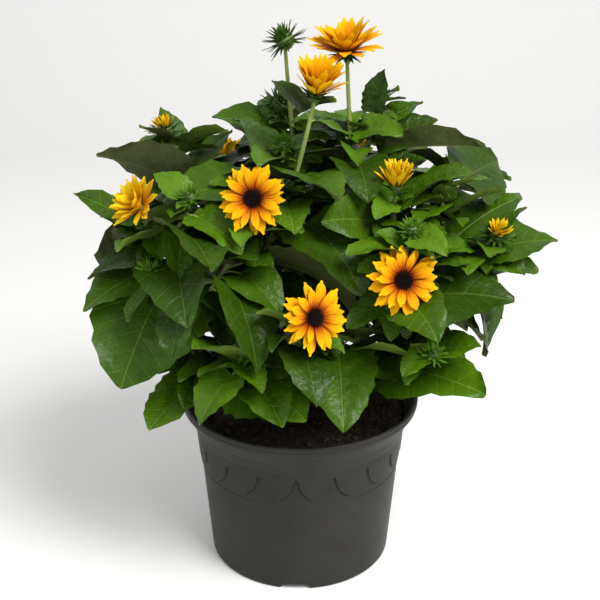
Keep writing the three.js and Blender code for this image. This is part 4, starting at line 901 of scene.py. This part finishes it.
def flat_maps(piece, name, flats, columns, top_columns):
    """Two maps for a piece of blades: its flat places as they are, and the same laid out on a sheet of cells.

    Every skin has one cell for its upper side and one for its under side, so that none overlap.
    """
    mesh = piece.data
    corners = np.empty(len(mesh.loops), int)
    mesh.loops.foreach_get("vertex_index", corners)
    totals = np.empty(len(mesh.polygons), int)
    mesh.polygons.foreach_get("loop_total", totals)
    flat = np.concatenate(flats)
    under = np.repeat(columns >= top_columns, totals)
    cell = 2 * (corners // len(flats[0])) + under
    per_row = math.ceil(math.sqrt(2 * len(flats)))
    low, high = flat.min(0), flat.max(0)
    inside = 0.06 + 0.88 * (flat[corners] - low) / (high - low)
    sheet = (inside + np.stack([cell % per_row, cell // per_row], 1)) / per_row
    for title, places in ((name, flat[corners] + (0, 0.5)), ("OFBake", sheet)):
        mesh.uv_layers.new(name=title).uv.foreach_set("vector", places.astype(np.float32).ravel())


def veins(finish):
    """How much of each spot on a leaf is vein, and how far it stands up between the veins.

    The rib is a line on the middle. Side veins are where the place along the leaf, less VEIN_SLANT of the
    place across, comes to a whole number of steps. The finest net is the edges of cells, and each cell is a
    cushion.
    """
    spot = finish.node("ShaderNodeUVMap", uv_map="leaf").outputs[0]
    parts = finish.node("ShaderNodeSeparateXYZ", {0: spot})
    signed = finish.math("SUBTRACT", parts.outputs[1], 0.5)
    out = finish.math("ABSOLUTE", signed)
    rib = finish.smooth(out, 0.013, 0.005)
    stagger = finish.math("MULTIPLY", finish.math("SIGN", signed), 0.02)
    slant = finish.math("SUBTRACT", parts.outputs[0], finish.math("MULTIPLY", out, VEIN_SLANT))
    steps = finish.math("MULTIPLY", finish.math("ADD", slant, stagger), float(VEIN_PAIRS))
    off = finish.math("ABSOLUTE", finish.math("SUBTRACT", finish.math("FRACT", steps), 0.5))
    side = finish.smooth(off, 0.43, 0.48)
    net = finish.node("ShaderNodeTexVoronoi", {"Vector": spot, "Scale": 17.0},
                      feature="DISTANCE_TO_EDGE", voronoi_dimensions="2D").outputs["Distance"]
    fine = finish.smooth(net, 0.10, 0.02)
    strong = finish.math("MAXIMUM", finish.math("MULTIPLY", rib, 0.85), finish.math("MULTIPLY", side, 0.32))
    all_veins = finish.math("MAXIMUM", strong, finish.math("MULTIPLY", fine, 0.05))
    cushion = finish.smooth(net, 0.0, 0.45, 0.17)
    blister = finish.math("MULTIPLY", finish.noise(9.0, spot, detail=1), 1.7)
    raised = finish.math("ADD", cushion, blister)
    return all_veins, finish.math("SUBTRACT", raised, finish.math("MULTIPLY", strong, 0.9))


def leaf_finish(name, dark, light, vein, roughness, raised):
    """A leaf side: green mottled between two shades, paler along its veins and puckered out or in."""
    finish = Shader(name, Roughness=roughness, Specular_IOR_Level=0.22)
    share, height = veins(finish)
    green = finish.ramp(finish.noise(38), (0.3, dark), (0.7, light))
    finish.colour(finish.mix(share, green, vein))
    finish.bump(height, raised * MM, 0.8)
    return finish.material


LEAF_TOPS = [
    leaf_finish("dark_leaf", (0.016, 0.043, 0.001), (0.031, 0.070, 0.002), (0.070, 0.120, 0.012), 0.38, 1.1),
    leaf_finish("green_leaf", (0.028, 0.074, 0.001), (0.050, 0.112, 0.002), (0.105, 0.185, 0.016), 0.38, 1.1),
    leaf_finish("fresh_leaf", (0.043, 0.112, 0.001), (0.070, 0.158, 0.003), (0.135, 0.235, 0.020), 0.40, 1.0),
    leaf_finish("young_leaf", (0.058, 0.146, 0.002), (0.090, 0.194, 0.005), (0.150, 0.26, 0.025), 0.42, 0.9),
]
LEAF_UNDERS = [
    leaf_finish("leaf_underside", (0.060, 0.080, 0.020), (0.09, 0.112, 0.03), (0.14, 0.175, 0.06), 0.7, -0.8),
    leaf_finish(
        "young_underside", (0.085, 0.145, 0.014), (0.120, 0.190, 0.024), (0.180, 0.255, 0.050), 0.7, -0.8),
]


def leaf_piece(name, leaves, rows):
    """One piece of many leaves. A leaf's shade, from dark to bright, follows its youth and some chance, and
    for the leaves listed one by one it is also painted light or shade: brighter or darker for how lit they
    look.
    """
    skins, flats = zip(*[leaf_skin(leaf, rows) for leaf in leaves])
    ring = len(LEAF_TOP) + len(LEAF_UNDER)
    piece, columns = skin_piece(name, skins, rows, ring, LEAF_CREASE, TOP_COLUMNS)
    flat_maps(piece, "leaf", flats, columns, TOP_COLUMNS)
    for finish in LEAF_TOPS + LEAF_UNDERS:
        piece.data.materials.append(finish)
    # A leaf's shade of green comes from its youth and chance, and for the listed leaves also from painted
    # light or shade.
    fresh = [2.3 * leaf["youth_and_light"] + 0.5 * wobble(leaf["number"], 9, 2) + 0.6 for leaf in leaves]
    shade = of_skins(np.clip(fresh, 0, len(LEAF_TOPS) - 1), rows, ring, split=2)
    index = np.where(columns < TOP_COLUMNS, shade, len(LEAF_TOPS) + (shade > 1))
    piece.data.polygons.foreach_set("material_index", index.astype(np.int32))
    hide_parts(*foliage)


large_leaves = crown.leaves[:first_growth]
leaf_piece("leaves_front", [leaf for leaf in large_leaves if leaf["base"][1] < 0], 16)
leaf_piece("leaves_back", [leaf for leaf in large_leaves if leaf["base"][1] >= 0], 16)
leaf_piece("small_leaves", crown.leaves[first_growth:], 9)

# ---------------------------------------------------------------- receptacles and bracts
# Under each flower head the shoot widens into a green receptacle, wrapped in whorls of narrow pointed bracts.
# On a bud they close over it and bristle, and on the youngest ones they are a fresher green.

# A profile is (radius, height) up a receptacle, and a disc is given by its radius. A whorl of bracts is its
# count, radius, height, length, width and rise in degrees, and a whorl of rays has its curl too.
HEADS = {
    "bloom": {
        "profile": ((2.0, -13), (4.2, -8), (7.6, -3), (8.8, 0), (7.6, 2.4)), "disc": 7.4,
        "bracts": ((16, 8.0, -4, 13, 3.4, -22), (14, 8.6, -1.5, 14, 3.4, -4)),
        "rays": ((17, 7.8, 0.8, 24.6, 8.7, 2, 18), (13, 7.2, 2.0, 21.5, 7.8, 18, 30))},
    "cup": {
        "profile": ((1.9, -12), (3.8, -8), (6.6, -3), (7.6, 0), (6.6, 2.4)), "disc": 6,
        "bracts": ((14, 6.6, -4, 12, 4.4, 2), (12, 7.4, -1.5, 12, 4.2, 18)),
        "rays": ((15, 6.8, 1.0, 31, 10, 18, 4), (14, 6.2, 2.2, 30, 9.6, 46, 2), (8, 5.0, 2.6, 24, 8, 62, 4))},
    "goblet": {
        "profile": ((1.9, -12), (3.8, -8), (6.4, -3), (7.0, 0), (6.0, 2.4)), "disc": 5.8,
        "bracts": ((12, 6.4, -4, 12, 4.6, 40), (12, 6.8, -1.5, 12, 4.4, 56)),
        "rays": ((15, 6.2, 1.0, 30, 9.6, 50, 8), (13, 5.6, 2.2, 29, 9, 66, 4))},
    "half": {
        "profile": ((1.8, -9), (3.2, -6), (5.2, -2), (5.6, 1), (4.8, 2.6)), "disc": 0,
        "bracts": ((12, 5.2, -2.5, 13, 3.0, 20), (10, 5.4, 0, 13, 2.8, 40)),
        "rays": ((15, 5.0, 1.2, 25, 8.6, 30, 10), (13, 4.2, 2.2, 24, 8, 52, 6), (9, 3.0, 2.6, 22, 7, 72, 0))},
    "vase": {
        "profile": ((1.8, -9), (3.2, -6), (5.4, -2), (5.8, 1), (4.8, 2.6)), "disc": 0,
        "bracts": ((12, 5.2, -2.5, 12, 3.8, 30), (11, 5.4, 0, 12, 3.6, 56)),
        "rays": ((17, 5.4, 1.2, 21, 5.2, 66, -8), (14, 4.2, 2, 22, 5, 78, -8), (9, 2.4, 2.6, 22, 5, 86, -4))},
    "opening": {
        "profile": ((1.8, -9), (4.6, -6), (7.6, -1.5), (7.0, 2.4), (4, 5)), "disc": 0,
        "bracts": ((16, 7.2, -2, 13, 4.0, 2), (15, 7.2, 0.5, 13, 4.0, 26), (13, 6.2, 2.5, 11, 3.8, 50)),
        "rays": ((14, 5.2, 3.5, 12, 4, 56, 0), (10, 3.4, 4, 12, 3.8, 74, 0))},
    "bud": {
        "profile": ((1.9, -9), (5.2, -7), (9.4, -2), (8.6, 3), (4.6, 7)), "disc": 0,
        "bracts": ((18, 9.0, -3.5, 14, 4.8, -12), (18, 9.6, -1, 14, 4.8, 12), (17, 9.0, 1.6, 13, 4.8, 36),
                   (14, 7.2, 4.0, 12, 4.6, 58), (10, 4.4, 6.2, 10, 4.2, 78)), "rays": ()},
    "young": {
        "profile": ((1.6, -6), (3.6, -4), (5.4, -1), (4.6, 2.4), (2.4, 4.6)), "disc": 0,
        "bracts": ((12, 5.0, -1.5, 11, 3.8, 14), (11, 5.0, 0, 11, 3.8, 38), (9, 4.0, 1.8, 10, 3.6, 60),
                   (6, 2.4, 3.4, 9, 3.2, 80)), "rays": ()},
    "tip": {
        "profile": ((1.6, -4), (1.8, -2), (1.9, 0), (1.7, 1.4), (1.2, 2.4)), "disc": 0,
        "bracts": ((5, 1.5, 0, 17, 7.0, 46), (3, 1.0, 1.6, 13, 5.5, 72)), "rays": ()},
}
CUP_ROWS, CUP_RING = 5, 12
BRACT_ROWS, RAY_ROWS = 5, 8
# A blade's points across it, in half widths, go over its upper side and back under, this far off its middle.
BLADE_COLUMNS = np.array([-1, -0.5, 0, 0.5, 1, 0.5, -0.5])
BLADE_THICK = 0.22 * np.array([0, 1, 0.5, 1, 0, -1, -1])
BLADE_TOP, BLADE_RING, BLADE_END, BLADE_CREASE = 4, 7, 0.94, 60
BRACT_INSET, BRACT_UNEVEN, BRACT_CURL, BRACT_CHANNEL = 0.85, 0.12, -18, 0.35
RAY_INSET, RAY_UNEVEN, RAY_CHANNEL, RAY_NOTCH = 0.9, 0.13, 0.22, 0.07


def head_axes(face):
    """The axis that a head looks along, and two directions square to it and to each other."""
    axis = way(*face)
    first = np.cross((0, 0, 1), axis)
    first /= np.linalg.norm(first)
    return axis, first, np.cross(axis, first)


def set_round(part, inset, uneven, trait):
    """Each blade of a part in every head: head, number, whorl, place in it, root, direction, axis and sizes.

    A whorl's blades stand evenly round its axis, each whorl half a step on from the last and each blade a
    little uneven, and are rooted at inset of the whorl's radius.
    """
    for number, (twig, (*_, head, face)) in enumerate(TWIGS.items()):
        axis, first, second = head_axes(face)
        for whorl, (count, radius, height, *sizes) in enumerate(HEADS[head][part]):
            for i in range(count):
                turn = 2 * math.pi * (i + 0.5 * whorl) / count + uneven * wobble(number, i, whorl + trait)
                outward = math.cos(turn) * first + math.sin(turn) * second
                root = lines[twig](1) + outward * radius * inset + axis * height
                yield head, number, whorl, i, root, outward, axis, sizes


def blade_skin(root, outward, axis, length, width, rise, curl, rows, shape, channel, notch=0.0):
    """A narrow blade on a head, as points and their flat places, 0 to 1 along it and -0.5 to 0.5 across.

    Its middle leaves at an angle of rise from the head's plane and turns down by curl along its length, an
    arc. Its half width at each share of the length is shape times half of width, its edges stand up by
    channel of that, and notch sets the two sides of its tip ahead of the middle.
    """
    t = np.linspace(0.0, BLADE_END, rows)[:, None]
    y = BLADE_COLUMNS
    reach = t + notch * t ** 6 * (1.6 * np.sin(math.pi * np.abs(y)) - np.abs(y) - 0.2)
    start, turn = math.radians(rise) + math.radians(curl) / 2, max(math.radians(curl), 0.01)
    slope = start - turn * reach
    out = length / turn * (math.sin(start) - np.sin(slope))
    up = length / turn * (np.cos(slope) - math.cos(start))
    half = width / 2 * shape(t)
    lift = (channel * y * y + 0.05 * np.cos(3 * math.pi * y)) * half + BLADE_THICK
    body = (root + (out - np.sin(slope) * lift)[..., None] * outward
            + (up + np.cos(slope) * lift)[..., None] * axis
            + (y * half)[..., None] * np.cross(axis, outward))
    end = start - turn
    whole = (math.sin(start) - math.sin(end)) * outward + (math.cos(end) - math.cos(start)) * axis
    tip = root + length / turn * whole * 0.97
    flat = np.stack([reach, 0.5 * y * shape(t)], -1).reshape(-1, 2)
    skin = np.concatenate([[root], body.reshape(-1, 3), [tip]]) * MM
    return skin, np.concatenate([[(0, 0)], flat, [(1, 0)]])


def bract_shape(t):
    """Widest at its foot, then narrowing evenly to a fine point."""
    return (1 - t) ** 0.8 + 0.03


cup_skins = []
angle = 2 * math.pi * np.arange(CUP_RING) / CUP_RING
for twig, (*_, head, face) in TWIGS.items():
    axis, first, second = head_axes(face)
    profile = np.array(HEADS[head]["profile"])
    middle = lines[twig](1) + profile[:, 1:] * axis
    round_about = np.cos(angle)[:, None] * first + np.sin(angle)[:, None] * second
    body = middle[:, None] + profile[:, :1, None] * round_about
    cup_skins.append(np.concatenate([middle[:1], body.reshape(-1, 3), middle[-1:] + axis]) * MM)
cups, _ = skin_piece("receptacles", cup_skins, CUP_ROWS, CUP_RING)
cups.data.materials.append(stalk_finish("receptacle_green", (0.11, 0.19, 0.03), (0.05, 0.10, 0.015)))
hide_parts(*foliage)

bract_skins, young_bracts = [], []
for head, number, whorl, i, root, outward, axis, sizes in set_round("bracts", BRACT_INSET, BRACT_UNEVEN, 50):
    length, width, rise = sizes
    length *= 1 + 0.16 * wobble(number, i, whorl + 60)
    rise += 9 * wobble(number, i, whorl + 70)
    skin, _ = blade_skin(
        root, outward, axis, length, width, rise, BRACT_CURL, BRACT_ROWS, bract_shape, BRACT_CHANNEL)
    bract_skins.append(skin)
    young_bracts.append(head in ("young", "tip"))
bracts, _ = skin_piece("bracts", bract_skins, BRACT_ROWS, BLADE_RING, BLADE_CREASE)
for name, dark, light in (("bract_green", (0.018, 0.048, 0.003), (0.050, 0.105, 0.008)),
                          ("young_bract", (0.045, 0.120, 0.005), (0.090, 0.200, 0.012))):
    finish = Shader(name, Roughness=0.55, Specular_IOR_Level=0.15)
    finish.colour(finish.ramp(finish.noise(120), (0.3, dark), (0.7, light)))
    bracts.data.materials.append(finish.material)
bracts.data.polygons.foreach_set("material_index", of_skins(young_bracts, BRACT_ROWS, BLADE_RING))
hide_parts(*foliage)

# ---------------------------------------------------------------- rays
# The showy rays: thin golden straps, grooved lengthways, notched at the tip and washed with red-brown at the
# foot. Open flowers hold them flat in two whorls, younger ones hold them up round the disc, and the youngest
# rays are plain lemon yellow.


def ray_shape(t):
    """Narrow at its foot, widest past the middle and pointed: a rising slope times 1 less t to the 4th."""
    return (0.43 + 1.2 * t) * (1 - t ** 4)


ray_skins, ray_flats, lemon_rays = [], [], []
for head, number, whorl, i, root, outward, axis, sizes in set_round("rays", RAY_INSET, RAY_UNEVEN, 20):
    length, width, rise, curl = sizes
    length *= 1 + 0.09 * wobble(number, i, whorl + 30)
    width *= 1 + 0.18 * wobble(number, i, whorl + 90)
    rise += 13 * wobble(number, i, whorl + 80)
    curl += 28 * wobble(number, i, whorl + 40)
    skin, flat = blade_skin(
        root, outward, axis, length, width, rise, curl, RAY_ROWS, ray_shape, RAY_CHANNEL, RAY_NOTCH)
    ray_skins.append(skin)
    ray_flats.append(flat)
    lemon_rays.append(head in ("half", "vase", "opening"))
rays, columns = skin_piece("rays", ray_skins, RAY_ROWS, BLADE_RING, BLADE_CREASE)
flat_maps(rays, "ray", ray_flats, columns, BLADE_TOP)
RAY_COLOURS = {
    "golden_ray": (
        (0.12, 0.009, 0.0), (0.36, 0.06, 0.0), (0.69, 0.245, 0.0), (0.80, 0.385, 0.0), (0.86, 0.49, 0.002)),
    "lemon_ray": (
        (0.60, 0.24, 0.0), (0.72, 0.36, 0.0), (0.80, 0.46, 0.001), (0.84, 0.55, 0.003), (0.86, 0.62, 0.014)),
    # The back of every ray is plain yellow, as on the real flower, and painted lighter than the tops as well:
    # painted light that undoes the shade on the rays' under sides.
    "ray_back_painted_light": (
        (0.74, 0.34, 0.0), (0.84, 0.43, 0.0), (0.89, 0.50, 0.001), (0.92, 0.57, 0.003), (0.93, 0.63, 0.008)),
}
RAY_STOPS = (0.10, 0.28, 0.49, 0.72, 0.95)
for name, colours in RAY_COLOURS.items():
    finish = Shader(name, Roughness=0.65, Specular_IOR_Level=0.1)
    spot = finish.node("ShaderNodeUVMap", uv_map="ray").outputs[0]
    lengthways = finish.node("ShaderNodeSeparateXYZ", {0: spot}).outputs[0]
    narrow = finish.node("ShaderNodeMapping", {"Vector": spot, "Scale": (1.2, 26, 1)}).outputs[0]
    streaks = finish.noise(1.0, narrow, detail=2)
    wash = finish.math("ADD", lengthways, finish.math("MULTIPLY", finish.math("SUBTRACT", streaks, 0.5), 1.1))
    finish.colour(finish.ramp(wash, *zip(RAY_STOPS, colours)))
    finish.bump(streaks, 0.0009, 0.8)
    rays.data.materials.append(finish.material)
index = np.where(columns < BLADE_TOP, of_skins(lemon_rays, RAY_ROWS, BLADE_RING), 2)
rays.data.polygons.foreach_set("material_index", index.astype(np.int32))
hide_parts(*foliage)

# ---------------------------------------------------------------- discs
# The eye of each open flower: near-black brown florets packed in spirals over a low dome, the outer ones
# taller and leaning outwards.

GOLDEN_TURN = math.radians(137.5)
FLORETS_PER_AREA, FLORET_ROWS, FLORET_RING = 2.1, 4, 5
FLORET_RADII = [0.42, 0.48, 0.50, 0.30]

floret_skins = []
for number, (twig, (*_, head, face)) in enumerate(TWIGS.items()):
    radius = HEADS[head]["disc"]
    axis, first, second = head_axes(face)
    centre = lines[twig](1) + axis * 2.0
    count = int(FLORETS_PER_AREA * radius * radius)
    for i in range(count):
        share = math.sqrt((i + 0.5) / count)
        outward = math.cos(i * GOLDEN_TURN) * first + math.sin(i * GOLDEN_TURN) * second
        lean = axis + outward * 0.5 * share
        lean /= np.linalg.norm(lean)
        foot = centre + outward * radius * share + axis * (1.4 - 2.4 * share ** 4)
        tall = 2.0 + 1.1 * share + 0.5 * wobble(number, i, 5)
        points = foot + np.linspace(-0.6, 1, FLORET_ROWS)[:, None] * tall * lean
        floret_skins.append(limb_skin(points, FLORET_RADII, FLORET_RING))
florets, _ = skin_piece("disc_florets", floret_skins, FLORET_ROWS, FLORET_RING)
umber = Shader("disc_brown", Roughness=0.85, Specular_IOR_Level=0.2)
umber.colour(umber.ramp(umber.noise(420), (0.35, (0.004, 0.002, 0.002)), (0.7, (0.022, 0.007, 0.004))))
florets.data.materials.append(umber.material)
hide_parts(*foliage)

# The top of an open head's receptacle, its last row of faces and its end, is brown like the florets on it.
cups.data.materials.append(umber.material)
open_heads = np.array([HEADS[head]["disc"] > 0 for *_, head, _ in TWIGS.values()])
browned = [np.outer(open_heads, np.repeat(rows, CUP_RING)).ravel() for rows in ((0, 0, 0, 1), (0, 1))]
cups.data.polygons.foreach_set("material_index", np.concatenate(browned).astype(np.int32))

# ---------------------------------------------------------------- floor, light and camera
# A pale studio floor that runs up behind into a pale wall, a large soft light high on the right and in front,
# a weaker one from the left, and a camera that looks a little down at the crown.

FLOOR_FRONT, FLOOR_BACK, FLOOR_SWEEP, FLOOR_HALF, WALL_HEIGHT = -3.0, 1.6, 0.9, 4.0, 4.0
WORLD_LIGHT = 0.55
CROWN_MIDDLE = (0, 0, 0.3)
CAMERA_PLACE, CAMERA_DOWN, LENS = (0, -1.008, 0.689), 22.3, 66.24

angle = np.linspace(0, math.pi / 2, 16)
sweep = np.stack([FLOOR_BACK + FLOOR_SWEEP * np.sin(angle), FLOOR_SWEEP * (1 - np.cos(angle))], 1)
line = np.concatenate([[(FLOOR_FRONT, 0)], sweep, [(FLOOR_BACK + FLOOR_SWEEP, WALL_HEIGHT)]])
points = np.concatenate([np.insert(line, 0, side, axis=1) for side in (-FLOOR_HALF, FLOOR_HALF)])
step = np.arange(len(line) - 1)
faces = np.stack([step, step + len(line), step + len(line) + 1, step + 1], 1)
mesh = bpy.data.meshes.new("backdrop")
mesh.from_pydata(points.tolist(), [], faces.tolist())
mesh.shade_smooth()
backdrop = bpy.data.objects.new("backdrop", mesh)
bpy.context.scene.collection.objects.link(backdrop)
paper = Shader("pale_paper", Roughness=0.9)
paper.surface.inputs["Base Color"].default_value = (0.95, 0.95, 0.945, 1)
backdrop.data.materials.append(paper.material)

world = bpy.data.worlds.new("studio")
world.use_nodes = True
background = world.node_tree.nodes["Background"]
background.inputs["Color"].default_value = (1.0, 1.0, 1.0, 1)
background.inputs["Strength"].default_value = WORLD_LIGHT
bpy.context.scene.world = world


def softbox(name, place, size, power, colour):
    """A square area light at a place in metres, aimed at the middle of the crown."""
    data = bpy.data.lights.new(name, "AREA")
    data.size = size
    data.energy = power
    data.color = colour
    lamp = bpy.data.objects.new(name, data)
    lamp.location = place
    x, y, z = np.subtract(CROWN_MIDDLE, place)
    lamp.rotation_euler = (math.atan2(math.hypot(x, y), -z), 0, math.atan2(y, x) - math.pi / 2)
    bpy.context.scene.collection.objects.link(lamp)


softbox("main_light", (0.9, -1.0, 1.8), 1.0, 52, (1.0, 0.98, 0.95))
softbox("fill_light", (-1.6, -0.8, 1.2), 1.6, 6, (1.0, 1.0, 1.0))

camera_data = bpy.data.cameras.new("camera")
camera_data.lens = LENS
camera_data.sensor_width = 36
camera = bpy.data.objects.new("camera", camera_data)
camera.location = CAMERA_PLACE
camera.rotation_euler = (math.radians(90 - CAMERA_DOWN), 0, 0)
bpy.context.scene.collection.objects.link(camera)
bpy.context.scene.camera = camera
bpy.context.scene.view_settings.view_transform = "Standard"
